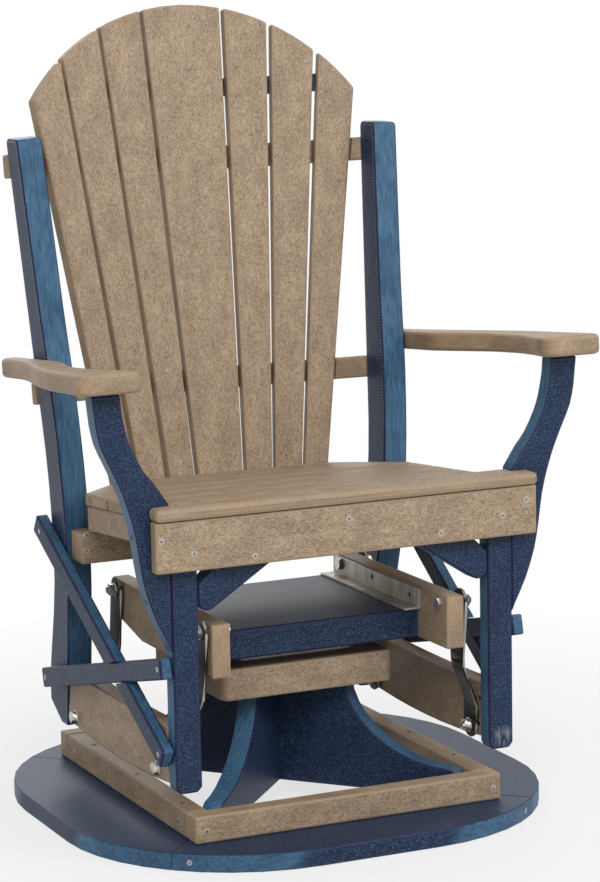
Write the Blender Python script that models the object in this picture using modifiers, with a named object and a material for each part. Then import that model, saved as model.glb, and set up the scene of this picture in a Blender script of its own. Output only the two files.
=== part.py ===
"""A swivel glider: a fan-backed armchair of poly lumber, hung on four steel links.

The links hang from two rails on a platform, which turns on a pedestal and a ring-shaped base.
Metres, +Z up, the front towards -Y. The origin is on the floor, on the axis of the swivel.
"""

import math

import bmesh
import bpy
from mathutils import Matrix, Vector

# Clearances and finish
FIT_GAP = 0.0003
WELD_DISTANCE = 0.00001
OVERRUN = 0.020
ARRIS = 0.003
SMALL_ARRIS = 0.0015
BROAD_ARRIS = 0.006
ARRIS_STEPS = 2
ARRIS_ANGLE = math.radians(35)
FLAT_ANGLE = math.radians(0.5)
ARC_STEPS = 5
SMOOTH_STEPS = 3
ROUND_STEPS = 12
RACE_STEPS = 32
HEX_SIDES = 6
SIDES = {"left": -1, "right": 1}

# Base: a ring of four mitred boards, a frame of rails on it, two crossing panels and a block
RING_HALF = 0.352
RING_THICK = 0.025
RING_BOARD = 0.140
RING_CORNER_RADIUS = 0.265
BASE_SIDE_SETBACK = 0.1195
BASE_END_SETBACK = 0.091
BASE_RAIL_THICK = 0.030
BASE_RAIL_HEIGHT = 0.038
PANEL_THICK = 0.028
PANEL_TOP_HALF = 0.121
PANEL_TIP_HEIGHT = 0.040
PANEL_TIP_RADIUS = 0.016
PANEL_CURVE_POWER = 1.8
PANEL_CURVE_STEPS = 9
BLOCK_HALF_WIDTH = 0.132
BLOCK_HALF_DEPTH = 0.128
BLOCK_UNDER = 0.180
BLOCK_HEIGHT = 0.0452
BLOCK_CORNER_RADIUS = 0.012

# Swivel bearing: two square steel plates, each with a raised race
BEARING_HALF = 0.089
BEARING_CORNER_RADIUS = 0.010
BEARING_PLATE = 0.003
BEARING_HEIGHT = 0.0177
BEARING_BORE = 0.045
RACE_INNER = 0.052
RACE_OUTER = 0.068
RACE_ROUND = 0.002

# Platform: a thick board, two hanger rails and the steel angles that hold them
PLATFORM_HALF_WIDTH = 0.1634
PLATFORM_FRONT = -0.148
PLATFORM_REAR = 0.128
PLATFORM_THICK = 0.042
HANGER_THICK = 0.0275
HANGER_FRONT = -0.2346
HANGER_REAR = 0.134
HANGER_DROP = 0.0010
HANGER_HEIGHT = 0.075
HANGER_TAIL_RISE = 0.024
HANGER_TAIL_LENGTH = 0.110
ANGLE_FRONT = -0.154
ANGLE_REAR = 0.126
ANGLE_STEEL = 0.003
ANGLE_HEIGHT = 0.0285
ANGLE_FLANGE = 0.025
ANGLE_BEND_RADIUS = 0.0035

# Links and their pivots
UPPER_PIVOT_Z = 0.305
UPPER_FRONT_PIVOT_Y = -0.212
PIVOT_SPACING = 0.313
LINK_LEAN_RUN = 0.025
LINK_DROP = 0.1875
LINK_WIDTH = 0.036
LINK_STEEL = 0.004
LINK_BEND_START = 0.080
LINK_BEND_END = 0.170
LINK_BEND_STEPS = 7
SPACER = 0.0034
BOLT_RADIUS = 0.005
BOLT_CLEARANCE = 0.0004
BOLT_HEAD_RADIUS = 0.0092
BOLT_HEAD_HEIGHT = 0.0060
NUT_RADIUS = 0.0092
NUT_HEIGHT = 0.0075
WASHER_RADIUS = 0.0105
WASHER_THICK = 0.0016
BOLT_STUB = 0.0035

# Chair body: legs and lower rails
LEG_INNER = 0.218
LEG_WIDTH = 0.038
LEG_THICK = 0.0275
LEG_FRONT = -0.2555
LEG_FOOT_Z = 0.096
LEG_FOOT_CHAMFER = 0.007
LOWER_RAIL_THICK = 0.0277
LOWER_RAIL_Z = 0.106
LOWER_RAIL_HEIGHT = 0.079
LOWER_RAIL_BELLY = 0.010
LOWER_RAIL_DISH = 0.004
LOWER_RAIL_STEPS = 8

# Rear posts: each leans outwards and is shaped in side view by shares of its height and depth
POST_HEIGHT = 0.856
POST_FRONT = 0.103
POST_DEPTH = 0.125
POST_SPLAY = math.radians(2.9)
POST_TOP_RADIUS = 0.009
POST_FRONT_SHARES = [(0.0, 0.48), (0.25, 0.088), (0.408, 0.0), (0.571, 0.096), (0.723, 0.288), (1.0, 0.576)]
POST_HEEL_SHARES = [(0.0, 0.68), (0.0315, 1.0)]
POST_REAR_SHARES = [(0.0315, 1.0), (0.0935, 0.92), (0.2535, 0.544), (0.425, 0.456)]
POST_STRAIGHT_SHARE = 0.571

# Seat: an apron, a nosed front slat, slats on two supports, a shaped rear slat and a cross rail
SEAT_FRONT_OVERHANG = 0.0285
SEAT_NOSE = -0.281
SEAT_UNDER_Z = 0.4727
SEAT_SLOPE = math.radians(4.6)
SEAT_DROP = 0.011
SLAT_THICK = 0.0175
SLAT_GAP = 0.006
FRONT_SLAT_WIDTH = 0.051
SLAT_WIDTH = 0.0615
SLAT_COUNT = 4
REAR_SLAT_CUT_X = 0.082
REAR_SLAT_CUT_Y = 0.098
SUPPORT_THICK = 0.0275
SUPPORT_HEIGHT = 0.036
APRON_THICK = 0.0202
APRON_HEIGHT = 0.069
CROSS_HALF = 0.263
CROSS_DEPTH = 0.043
CROSS_HEIGHT = 0.044

# Corner braces between the front legs and the apron
CORNER_LEG_LOW = 0.141
CORNER_LEG_HIGH = 0.091
CORNER_TOP = 0.040
CORNER_REACH = 0.112
CORNER_TOP_REACH = 0.068
CORNER_END_RADIUS = 0.014

# Crossed brace bars on the outside of the legs, half-lapped where they cross
BRACE_THICK = 0.018
BRACE_WIDTH = 0.029
LOW_BRACE_FRONT = (-0.2530, 0.2710)
LOW_BRACE_REAR = (0.1990, 0.1630)
HIGH_BRACE_FRONTS = {"left": (-0.2480, 0.1450), "right": (-0.1870, 0.1814)}
HIGH_BRACE_REAR = (0.1780, 0.3990)
LAP_REACH_SHARE = 4

# Arms and the shaped supports under them
ARM_FRONT = -0.287
ARM_TOP_Z = 0.677
ARM_SLOPE = math.radians(4.8)
ARM_THICK = 0.028
ARM_LENGTH = 0.525
ARM_WIDTH = 0.1023
ARM_CORNER_RADIUS = 0.020
ARM_TAIL_RADIUS = 0.013
ARM_OUTER_SHARES = [(0.92, 0.16), (0.845, 0.343), (0.652, 0.527), (0.44, 0.692), (0.305, 0.839)]
ARM_TAIL_SHARE = 0.29
ARM_INNER_SHARES = [(0.0, 0.66), (0.05, 0.607), (0.246, 0.466), (0.33, 0.389), (0.34, 0.26), (0.25, 0.15)]
ARM_FRONT_SHARE = 0.055
ARM_SUPPORT_TIP_Z = 0.291
ARM_SUPPORT_REACH = 0.104
ARM_SUPPORT_OUTER_SHARES = [
    (0.04, 0.03), (0.21, 0.13), (0.346, 0.245), (0.413, 0.35), (0.47, 0.465), (0.558, 0.565),
    (0.66, 0.65), (0.79, 0.735), (0.904, 0.81), (0.96, 0.885),
]
ARM_SUPPORT_INNER_SHARES = [
    (0.60, 0.935), (0.545, 0.85), (0.47, 0.785), (0.327, 0.705), (0.19, 0.655), (0.065, 0.60),
]
ARM_SUPPORT_TOP_SHARE = 0.615
ARM_SUPPORT_NOSE_SHARE = 0.572

# Back: seven slats that fan out, with a round top, set in a hollow on bowed rails
BACK_RECLINE = math.radians(7.6)
BACK_FOOT_Y = 0.1305
BACK_FOOT_Z = 0.410
BACK_SLAT_THICK = 0.0195
BACK_GAP = 0.0055
BACK_LOW_Z = 0.470
BACK_LOW_EDGES = (0.0395, 0.0871, 0.1350, 0.1740)
BACK_LOW_FACE = 0.1643
BACK_LOW_HOLLOW = 0.0086
BACK_HIGH_Z = 1.080
BACK_HIGH_EDGES = (0.0625, 0.1335, 0.2042, 0.2651)
BACK_HIGH_FACE = 0.2290
BACK_HIGH_HOLLOW = 0.0440
BACK_TOP_Z = 1.130
BACK_TOP_SPREAD = 0.0489
BACK_ARC_STEPS = 4
BED_BITE = 0.004
BED_SPREAD = 0.005
BACK_RAIL_THICK = 0.020
BACK_RAIL_STEPS = 6
TOP_RAIL_HALF = 0.232
TOP_RAIL_LOW = 0.598
TOP_RAIL_HEIGHT = 0.026
UPPER_RAIL_LOW = 0.4905
UPPER_RAIL_HEIGHT = 0.034
MIDDLE_RAIL_HEIGHT = 0.032
FOOT_RAIL_DEPTH = 0.028
FOOT_RAIL_HEIGHT = 0.034
RAIL_PAST_POST = 0.003

# Heights and faces that follow from the sizes above
BASE_HALF_WIDTH = RING_HALF - BASE_SIDE_SETBACK
BASE_HALF_DEPTH = RING_HALF - BASE_END_SETBACK
BASE_TOP = RING_THICK + FIT_GAP + BASE_RAIL_HEIGHT
BLOCK_TOP = BLOCK_UNDER + BLOCK_HEIGHT
PLATFORM_UNDER = BLOCK_TOP + FIT_GAP + BEARING_HEIGHT + FIT_GAP
PLATFORM_TOP = PLATFORM_UNDER + PLATFORM_THICK
HANGER_INNER = PLATFORM_HALF_WIDTH + FIT_GAP
HANGER_OUTER = HANGER_INNER + HANGER_THICK
HANGER_UNDER = PLATFORM_UNDER - HANGER_DROP
LEG_OUTER = LEG_INNER + LEG_WIDTH
LEG_REAR = LEG_FRONT + LEG_THICK
SEAT_HALF = LEG_OUTER - FIT_GAP
SEAT_FRONT_HALF = LEG_OUTER + SEAT_FRONT_OVERHANG
LOWER_RAIL_INNER = LEG_OUTER - LOWER_RAIL_THICK
LINK_TOP_X = HANGER_OUTER + SPACER + FIT_GAP + LINK_STEEL / 2
LINK_FOOT_X = LOWER_RAIL_INNER - SPACER / 2 - FIT_GAP - LINK_STEEL / 2
LINK_LENGTH = math.hypot(LINK_LEAN_RUN, LINK_DROP)
LINK_LEAN = math.atan2(LINK_LEAN_RUN, LINK_DROP)
LOWER_PIVOT_Z = UPPER_PIVOT_Z - LINK_DROP
PIVOT_YS = {"front": UPPER_FRONT_PIVOT_Y, "rear": UPPER_FRONT_PIVOT_Y + PIVOT_SPACING}
LEG_TOP = SEAT_UNDER_Z - FIT_GAP
APRON_REAR = LEG_FRONT - FIT_GAP
FIRST_SLAT = SEAT_NOSE + FRONT_SLAT_WIDTH + SLAT_GAP
SLAT_PITCH = SLAT_WIDTH + SLAT_GAP
BACK_TOP_RADIUS = BACK_HIGH_EDGES[-1] + BACK_TOP_SPREAD
BACK_RAIL_FRONT = BACK_SLAT_THICK + FIT_GAP

# Planes that an outline's own x and y can be laid in
PLAN = Matrix.Identity(4)
FRONT_VIEW = Matrix.Rotation(math.pi / 2, 4, "X")
SIDE_VIEW = Matrix.Rotation(math.pi / 2, 4, "Z") @ FRONT_VIEW


def clear_scene():
    for obj in list(bpy.data.objects):
        bpy.data.objects.remove(obj, do_unlink=True)
    for group in list(bpy.data.collections):
        bpy.data.collections.remove(group)


def collection(name):
    group = bpy.data.collections.new(name)
    bpy.context.scene.collection.children.link(group)
    return group


def material(name, colour, roughness, metallic):
    look = bpy.data.materials.new(name)
    look.use_nodes = True
    shader = look.node_tree.nodes["Principled BSDF"]
    shader.inputs["Base Color"].default_value = (*colour, 1.0)
    shader.inputs["Roughness"].default_value = roughness
    shader.inputs["Metallic"].default_value = metallic
    return look


clear_scene()
PARTS = collection("swivel_glider")
TOOLS = collection("swivel_glider_cutters")
TAN = material("tan_poly_lumber", (0.34, 0.24, 0.16), 0.55, 0.0)
NAVY = material("navy_poly_lumber", (0.025, 0.05, 0.12), 0.5, 0.0)
ZINC = material("zinc_plated_steel", (0.45, 0.44, 0.42), 0.35, 1.0)
DARK_STEEL = material("dark_coated_steel", (0.09, 0.09, 0.10), 0.45, 0.8)


def frame(name, parent, place=(0, 0, 0), turn=(0, 0, 0)):
    """An empty that carries a body's pieces, or sets the slant of some of them."""
    empty = bpy.data.objects.new(name, None)
    empty.parent = parent
    empty.location = place
    empty.rotation_euler = turn
    PARTS.objects.link(empty)
    return empty


def box_mesh(name, size):
    shape = bmesh.new()
    bmesh.ops.create_cube(shape, size=1)
    bmesh.ops.scale(shape, vec=size, verts=shape.verts)
    mesh = bpy.data.meshes.new(name)
    shape.to_mesh(mesh)
    shape.free()
    return mesh


def outline_mesh(name, outlines, thickness, plane):
    """A board sawn to an outline, with any holes as further outlines, centred on its own plane."""
    curve = bpy.data.curves.new(name, "CURVE")
    curve.dimensions = "2D"
    curve.fill_mode = "BOTH"
    curve.extrude = thickness / 2
    for points in outlines:
        spline = curve.splines.new("POLY")
        spline.points.add(len(points) - 1)
        spline.use_cyclic_u = True
        for knot, (x, y) in zip(spline.points, points):
            knot.co = (x, y, 0, 1)
    guide = bpy.data.objects.new(name, curve)
    TOOLS.objects.link(guide)
    mesh = bpy.data.meshes.new_from_object(guide.evaluated_get(bpy.context.evaluated_depsgraph_get()))
    bpy.data.objects.remove(guide)
    shape = bmesh.new()
    shape.from_mesh(mesh)
    bmesh.ops.remove_doubles(shape, verts=shape.verts, dist=WELD_DISTANCE)
    bmesh.ops.dissolve_limit(shape, angle_limit=FLAT_ANGLE, verts=shape.verts, edges=shape.edges)
    bmesh.ops.recalc_face_normals(shape, faces=shape.faces)
    bmesh.ops.transform(shape, matrix=plane, verts=shape.verts)
    shape.to_mesh(mesh)
    shape.free()
    return mesh


def cylinder_mesh(name, radius, length, sides):
    """A round or many-sided bar along X, centred on its origin."""
    shape = bmesh.new()
    bmesh.ops.create_cone(shape, cap_ends=True, segments=sides, radius1=radius, radius2=radius, depth=length)
    bmesh.ops.rotate(shape, matrix=Matrix.Rotation(math.pi / 2, 3, "Y"), verts=shape.verts)
    mesh = bpy.data.meshes.new(name)
    shape.to_mesh(mesh)
    shape.free()
    return mesh


def piece(name, mesh, look, parent, place, turn=(0, 0, 0), arris=ARRIS):
    """A sub-part: its mesh, look and place in its parent's frame, with its edges eased by arris."""
    obj = bpy.data.objects.new(name, mesh)
    mesh.materials.append(look)
    obj.parent = parent
    obj.location = place
    obj.rotation_euler = turn
    PARTS.objects.link(obj)
    if arris:
        easing = obj.modifiers.new("eased_edges", "BEVEL")
        easing.width = arris
        easing.segments = ARRIS_STEPS
        easing.limit_method = "ANGLE"
        easing.angle_limit = ARRIS_ANGLE
    return obj


def board(name, look, parent, low, high, arris=ARRIS):
    """A square-cut board between two opposite corners in its parent's frame."""
    low, high = Vector(low), Vector(high)
    return piece(name, box_mesh(name, high - low), look, parent, (low + high) / 2, arris=arris)


def tool(name, mesh, parent, place, turn=(0, 0, 0)):
    """A shape that is only used to cut or to join, and isn't a sub-part itself."""
    obj = bpy.data.objects.new(name, mesh)
    obj.parent = parent
    obj.location = place
    obj.rotation_euler = turn
    obj.hide_render = True
    obj.display_type = "WIRE"
    TOOLS.objects.link(obj)
    return obj


def combine(obj, other, operation):
    step = obj.modifiers.new(f"{operation.lower()}_{other.name}", "BOOLEAN")
    step.operation = operation
    step.solver = "EXACT"
    step.object = other


def spin_round(obj, steps):
    """Turns an object's profile into a solid round its own Z axis."""
    turning = obj.modifiers.new("turned", "SCREW")
    turning.steps = steps
    turning.render_steps = steps
    turning.use_merge_vertices = True
    turning.merge_threshold = WELD_DISTANCE


def profile_mesh(name, points, closed):
    """A profile of (radius, height) points, run down its outer side from the top."""
    edges = [(i, i + 1) for i in range(len(points) - 1)]
    if closed:
        edges.append((len(points) - 1, 0))
    mesh = bpy.data.meshes.new(name)
    mesh.from_pydata([(radius, 0, height) for radius, height in points], edges, [])
    return mesh


def arc(centre, radius, start, end, steps=ARC_STEPS):
    """Points on an arc about centre from one angle to another."""
    angles = [start + (end - start) * i / steps for i in range(steps + 1)]
    return [(centre[0] + radius * math.cos(a), centre[1] + radius * math.sin(a)) for a in angles]


def smooth_line(points, steps=SMOOTH_STEPS):
    """Points on a smooth curve through the given ones, first to last."""
    line = []
    padded = [points[0], *points, points[-1]]
    for i in range(len(points) - 1):
        p, q, r, s = (Vector(point) for point in padded[i : i + 4])
        for j in range(steps):
            t = j / steps
            bend = (2 * p - 5 * q + 4 * r - s) * t * t + (3 * q - p - 3 * r + s) * t * t * t
            line.append(tuple(q + ((r - p) * t + bend) / 2))
    return [*line, tuple(points[-1])]


def rounded_corner(before, corner, after, radius, steps=ARC_STEPS):
    """Points of the arc that rounds a corner between two straight sides."""
    corner = Vector(corner)
    back = (Vector(before) - corner).normalized()
    on = (Vector(after) - corner).normalized()
    half = back.angle(on) / 2
    centre = corner + (back + on).normalized() * radius / math.sin(half)
    first = corner + back * radius / math.tan(half) - centre
    last = corner + on * radius / math.tan(half) - centre
    turn = first.angle_signed(last)
    start = math.atan2(first.y, first.x)
    return arc(centre, radius, start, start - turn, steps)


def rounded_rectangle(half_width, half_depth, radius):
    x, y = half_width - radius, half_depth - radius
    points = []
    for number, centre in enumerate(((x, y), (-x, y), (-x, -y), (x, -y))):
        start = number * math.pi / 2
        points += arc(centre, radius, start, start + math.pi / 2)
    return points


def height_lookup(points, height):
    """The first coordinate of a rising line of (value, height) points at one height."""
    for (x1, z1), (x2, z2) in zip(points, points[1:]):
        if z1 <= height <= z2:
            return x1 + (x2 - x1) * (height - z1) / (z2 - z1)
    return points[-1][0] if height > points[-1][1] else points[0][0]


def sided(side, near, far):
    """The low and high X of a piece whose inner and outer faces are near and far from the middle."""
    return (near, far) if side > 0 else (-far, -near)


def back_face_y(height):
    """Where the front face of the back slats stands at one height above the floor."""
    return BACK_FOOT_Y + (height - BACK_FOOT_Z) * math.tan(BACK_RECLINE)


def back_rail_y(height):
    """Where the posts' rear edge and the fronts of the back rails stand at one height."""
    return back_face_y(height) + BACK_RAIL_FRONT / math.cos(BACK_RECLINE)


def post_edges():
    """The front and rear edges of a post in side view, each from the foot to the top."""
    front = [(POST_FRONT + POST_DEPTH * y, LEG_FOOT_Z + POST_HEIGHT * z) for z, y in POST_FRONT_SHARES]
    heel, ankle = [
        (POST_FRONT + POST_DEPTH * y, LEG_FOOT_Z + POST_HEIGHT * z) for z, y in POST_HEEL_SHARES
    ]
    rear = [(POST_FRONT + POST_DEPTH * y, LEG_FOOT_Z + POST_HEIGHT * z) for z, y in POST_REAR_SHARES]
    straight_z = LEG_FOOT_Z + POST_HEIGHT * POST_STRAIGHT_SHARE
    rear.append((back_rail_y(straight_z) - FIT_GAP, straight_z))
    top_z = LEG_FOOT_Z + POST_HEIGHT
    top = (back_rail_y(top_z) - FIT_GAP, top_z)
    return smooth_line(front), [heel, *smooth_line([ankle, *rear[1:]]), top]


def post_outer(height):
    """How far from the middle a post's outer face stands at one height."""
    return LEG_OUTER + (height - LEG_FOOT_Z) * math.tan(POST_SPLAY)


def post_inner(height):
    return post_outer(height) - LEG_WIDTH / math.cos(POST_SPLAY)


def base_ring():
    """Four boards, mitred on the diagonals, with the ring's corners sawn to wide arcs."""
    inner = RING_HALF - RING_BOARD
    corner = RING_HALF - RING_CORNER_RADIUS
    slip = math.asin(FIT_GAP / 2 / RING_CORNER_RADIUS)
    mitre = FIT_GAP / math.sqrt(2)
    quarter, eighth = math.pi / 2, math.pi / 4
    points = [(mitre - inner, -inner), (inner - mitre, -inner)]
    points += arc((corner, -corner), RING_CORNER_RADIUS, -eighth - slip, -quarter)
    points += arc((-corner, -corner), RING_CORNER_RADIUS, -quarter, -quarter - eighth + slip)
    for number, where in enumerate(("front", "right", "rear", "left")):
        name = f"base_ring_{where}"
        mesh = outline_mesh(name, [points], RING_THICK, PLAN)
        turn = (0, 0, number * quarter)
        piece(name, mesh, NAVY, BASE, (0, 0, RING_THICK / 2), turn, SMALL_ARRIS)


def base_rails():
    low = RING_THICK + FIT_GAP
    side_y = BASE_HALF_DEPTH - BASE_RAIL_THICK
    for where, y in (("front", -BASE_HALF_DEPTH), ("rear", side_y)):
        near = (-BASE_HALF_WIDTH, y, low)
        far = (BASE_HALF_WIDTH, y + BASE_RAIL_THICK, BASE_TOP)
        board(f"base_rail_{where}", TAN, BASE, near, far)
    for where, side in SIDES.items():
        x1, x2 = sided(side, BASE_HALF_WIDTH - BASE_RAIL_THICK, BASE_HALF_WIDTH)
        reach = side_y - FIT_GAP
        board(f"base_rail_{where}", TAN, BASE, (x1, -reach, low), (x2, reach, BASE_TOP))


def panel_outline(reach, low, high):
    """One pedestal panel: a narrow top, hollow sides and a rounded toe at each end."""
    toe = reach - PANEL_TIP_RADIUS
    toe_top = low + PANEL_TIP_HEIGHT
    half = []
    for i in range(PANEL_CURVE_STEPS + 1):
        angle = math.pi / 2 * i / PANEL_CURVE_STEPS
        across = math.cos(angle) ** (2 / PANEL_CURVE_POWER)
        down = math.sin(angle) ** (2 / PANEL_CURVE_POWER)
        half.append((toe - (toe - PANEL_TOP_HALF) * across, high - (high - toe_top) * down))
    half += arc((toe, toe_top - PANEL_TIP_RADIUS), PANEL_TIP_RADIUS, math.pi / 2, 0)[1:]
    half.append((reach, low))
    return half + [(-x, z) for x, z in reversed(half)]


def pedestal_panels():
    """Two panels that cross on the base frame's diagonals, half-lapped in the middle."""
    inner_x = BASE_HALF_WIDTH - BASE_RAIL_THICK
    inner_y = BASE_HALF_DEPTH - BASE_RAIL_THICK
    angle = math.atan2(inner_y, inner_x)
    half_thick = PANEL_THICK / 2
    reach = min(
        (inner_x - FIT_GAP - half_thick * math.sin(angle)) / math.cos(angle),
        (inner_y - FIT_GAP - half_thick * math.cos(angle)) / math.sin(angle),
    )
    low, high = RING_THICK + FIT_GAP, BLOCK_UNDER - FIT_GAP
    middle = (low + high) / 2
    points = panel_outline(reach, low, high)
    slot = (2 * (PANEL_THICK + OVERRUN), PANEL_THICK + 2 * FIT_GAP, middle - low + OVERRUN)
    rise = slot[2] / 2 - FIT_GAP / 2
    for name, turn, slot_z in (
        ("pedestal_panel_a", angle, middle + rise),
        ("pedestal_panel_b", -angle, middle - rise),
    ):
        mesh = outline_mesh(name, [points], PANEL_THICK, FRONT_VIEW)
        panel = piece(name, mesh, NAVY, BASE, (0, 0, 0), (0, 0, turn), SMALL_ARRIS)
        slot_name = f"{name}_slot"
        cutter = tool(slot_name, box_mesh(slot_name, slot), BASE, (0, 0, slot_z), (0, 0, -turn))
        combine(panel, cutter, "DIFFERENCE")


def swivel_block():
    points = rounded_rectangle(BLOCK_HALF_WIDTH, BLOCK_HALF_DEPTH, BLOCK_CORNER_RADIUS)
    mesh = outline_mesh("swivel_block", [points], BLOCK_HEIGHT, PLAN)
    piece("swivel_block", mesh, TAN, BASE, (0, 0, BLOCK_UNDER + BLOCK_HEIGHT / 2))


def bearing_plate(name, body, face_z, up):
    """A square plate against face_z, with its race on the side that up points to."""
    square = rounded_rectangle(BEARING_HALF, BEARING_HALF, BEARING_CORNER_RADIUS)
    bore = arc((0, 0), BEARING_BORE, 0, 2 * math.pi, RACE_STEPS)[:-1]
    mesh = outline_mesh(name, [square, bore], BEARING_PLATE, PLAN)
    plate = piece(name, mesh, ZINC, body, (0, 0, face_z + up * BEARING_PLATE / 2), arris=0)
    top = (BEARING_HEIGHT - FIT_GAP) / 2
    race = [
        (RACE_OUTER - RACE_ROUND, top), (RACE_OUTER, top - RACE_ROUND), (RACE_OUTER, BEARING_PLATE / 2),
        (RACE_INNER, BEARING_PLATE / 2), (RACE_INNER, top - RACE_ROUND), (RACE_INNER + RACE_ROUND, top),
    ]
    race_name = f"{name}_race"
    turn = (0, 0, 0) if up > 0 else (math.pi, 0, 0)
    ring = tool(race_name, profile_mesh(race_name, race, closed=True), body, (0, 0, face_z), turn)
    spin_round(ring, RACE_STEPS)
    combine(plate, ring, "UNION")


def platform_board():
    low = (-PLATFORM_HALF_WIDTH, PLATFORM_FRONT, PLATFORM_UNDER)
    board("platform_board", NAVY, SWIVEL, low, (PLATFORM_HALF_WIDTH, PLATFORM_REAR, PLATFORM_TOP))


def add_bolt(obj, name, parent, side, pivot, sections, hexes):
    """Joins a bolt to the piece that carries it: turned sections and six-sided heads along X.

    Sections and hexes are (radius, near, far), near and far from the middle plane.
    """
    y, z = pivot
    sections = sorted(sections, key=lambda section: section[2], reverse=True)
    profile = [(0, sections[0][2])]
    for radius, near, far in sections:
        profile += [(radius, far), (radius, near)]
    profile.append((0, sections[-1][1]))
    shank_name = f"{name}_shank"
    turn = (0, side * math.pi / 2, 0)
    shank = tool(shank_name, profile_mesh(shank_name, profile, closed=False), parent, (0, y, z), turn)
    spin_round(shank, ROUND_STEPS)
    combine(obj, shank, "UNION")
    for number, (radius, near, far) in enumerate(hexes):
        hex_name = f"{name}_hex_{number}"
        mesh = cylinder_mesh(hex_name, radius, far - near, HEX_SIDES)
        head = tool(hex_name, mesh, parent, (side * (near + far) / 2, y, z))
        combine(obj, head, "UNION")


def hanger_outline():
    """A hanger rail in side view: its under edge rises towards the rear end."""
    top = HANGER_UNDER + HANGER_HEIGHT
    tail = HANGER_REAR - HANGER_TAIL_LENGTH
    return [
        (HANGER_FRONT, HANGER_UNDER), (tail, HANGER_UNDER), (HANGER_REAR, HANGER_UNDER + HANGER_TAIL_RISE),
        (HANGER_REAR, top), (HANGER_FRONT, top),
    ]


def hanger_rails():
    """The rails that the links hang from, each with its two pivot bolts."""
    link_inner = LINK_TOP_X - LINK_STEEL / 2 - FIT_GAP
    link_outer = LINK_TOP_X + LINK_STEEL / 2 + FIT_GAP
    nut = link_outer + WASHER_THICK
    end = nut + NUT_HEIGHT + BOLT_STUB
    angle_face = PLATFORM_HALF_WIDTH - ANGLE_STEEL - FIT_GAP
    for where, side in SIDES.items():
        name = f"hanger_rail_{where}"
        mesh = outline_mesh(name, [hanger_outline()], HANGER_THICK, SIDE_VIEW)
        middle = side * (HANGER_INNER + HANGER_OUTER) / 2
        rail = piece(name, mesh, TAN, SWIVEL, (middle, 0, 0))
        for end_name, y in PIVOT_YS.items():
            seat = HANGER_INNER if end_name == "front" else angle_face
            head = seat - BOLT_HEAD_HEIGHT
            sections = [
                (BOLT_RADIUS, nut, end),
                (WASHER_RADIUS, link_outer, nut),
                (BOLT_RADIUS, link_inner, link_outer),
                (WASHER_RADIUS, HANGER_OUTER - SPACER / 2, link_inner),
                (BOLT_RADIUS, head + BOLT_HEAD_HEIGHT / 2, HANGER_OUTER - SPACER / 2),
            ]
            head_far = seat + (SPACER / 2 if end_name == "front" else 0)
            hexes = [
                (BOLT_HEAD_RADIUS, head, head_far),
                (NUT_RADIUS, nut - WASHER_THICK / 2, end - BOLT_STUB),
            ]
            add_bolt(rail, f"{name}_{end_name}_bolt", SWIVEL, side, (y, UPPER_PIVOT_Z), sections, hexes)


def hanger_angles():
    """Bent steel angles on the platform, each against the inner face of its rail."""
    bolt_hole = BOLT_RADIUS + BOLT_CLEARANCE
    inner_radius = ANGLE_BEND_RADIUS - ANGLE_STEEL
    low, quarter = PLATFORM_TOP + FIT_GAP, math.pi / 2
    for where, side in SIDES.items():
        face = PLATFORM_HALF_WIDTH
        bend = (face - ANGLE_BEND_RADIUS, low + ANGLE_BEND_RADIUS)
        points = [(face - ANGLE_FLANGE, low)]
        points += arc(bend, ANGLE_BEND_RADIUS, -quarter, 0)
        points += [(face, low + ANGLE_HEIGHT), (face - ANGLE_STEEL, low + ANGLE_HEIGHT)]
        points += arc(bend, inner_radius, 0, -quarter)
        points.append((face - ANGLE_FLANGE, low + ANGLE_STEEL))
        name = f"hanger_angle_{where}"
        outline = [(side * x, z) for x, z in points]
        mesh = outline_mesh(name, [outline], ANGLE_REAR - ANGLE_FRONT, FRONT_VIEW)
        angle = piece(name, mesh, DARK_STEEL, SWIVEL, (0, (ANGLE_FRONT + ANGLE_REAR) / 2, 0), arris=0)
        hole_name = f"{name}_hole"
        mesh = cylinder_mesh(hole_name, bolt_hole, 2 * OVERRUN, ROUND_STEPS)
        hole = tool(hole_name, mesh, SWIVEL, (side * face, PIVOT_YS["rear"], UPPER_PIVOT_Z))
        combine(angle, hole, "DIFFERENCE")


def link_bend(side):
    """A link's bent section in front view: straight at both eyes and swept outwards between them."""
    line = [(0, LINK_WIDTH + OVERRUN)]
    for i in range(LINK_BEND_STEPS + 1):
        share = i / LINK_BEND_STEPS
        out = (LINK_FOOT_X - LINK_TOP_X) * (1 - math.cos(math.pi * share)) / 2
        line.append((out, -LINK_BEND_START - (LINK_BEND_END - LINK_BEND_START) * share))
    line.append((line[-1][0], -LINK_LENGTH - LINK_WIDTH - OVERRUN))
    half = LINK_STEEL / 2
    near = [(side * (x - half), z) for x, z in line]
    return near + [(side * (x + half), z) for x, z in reversed(line)]


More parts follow.
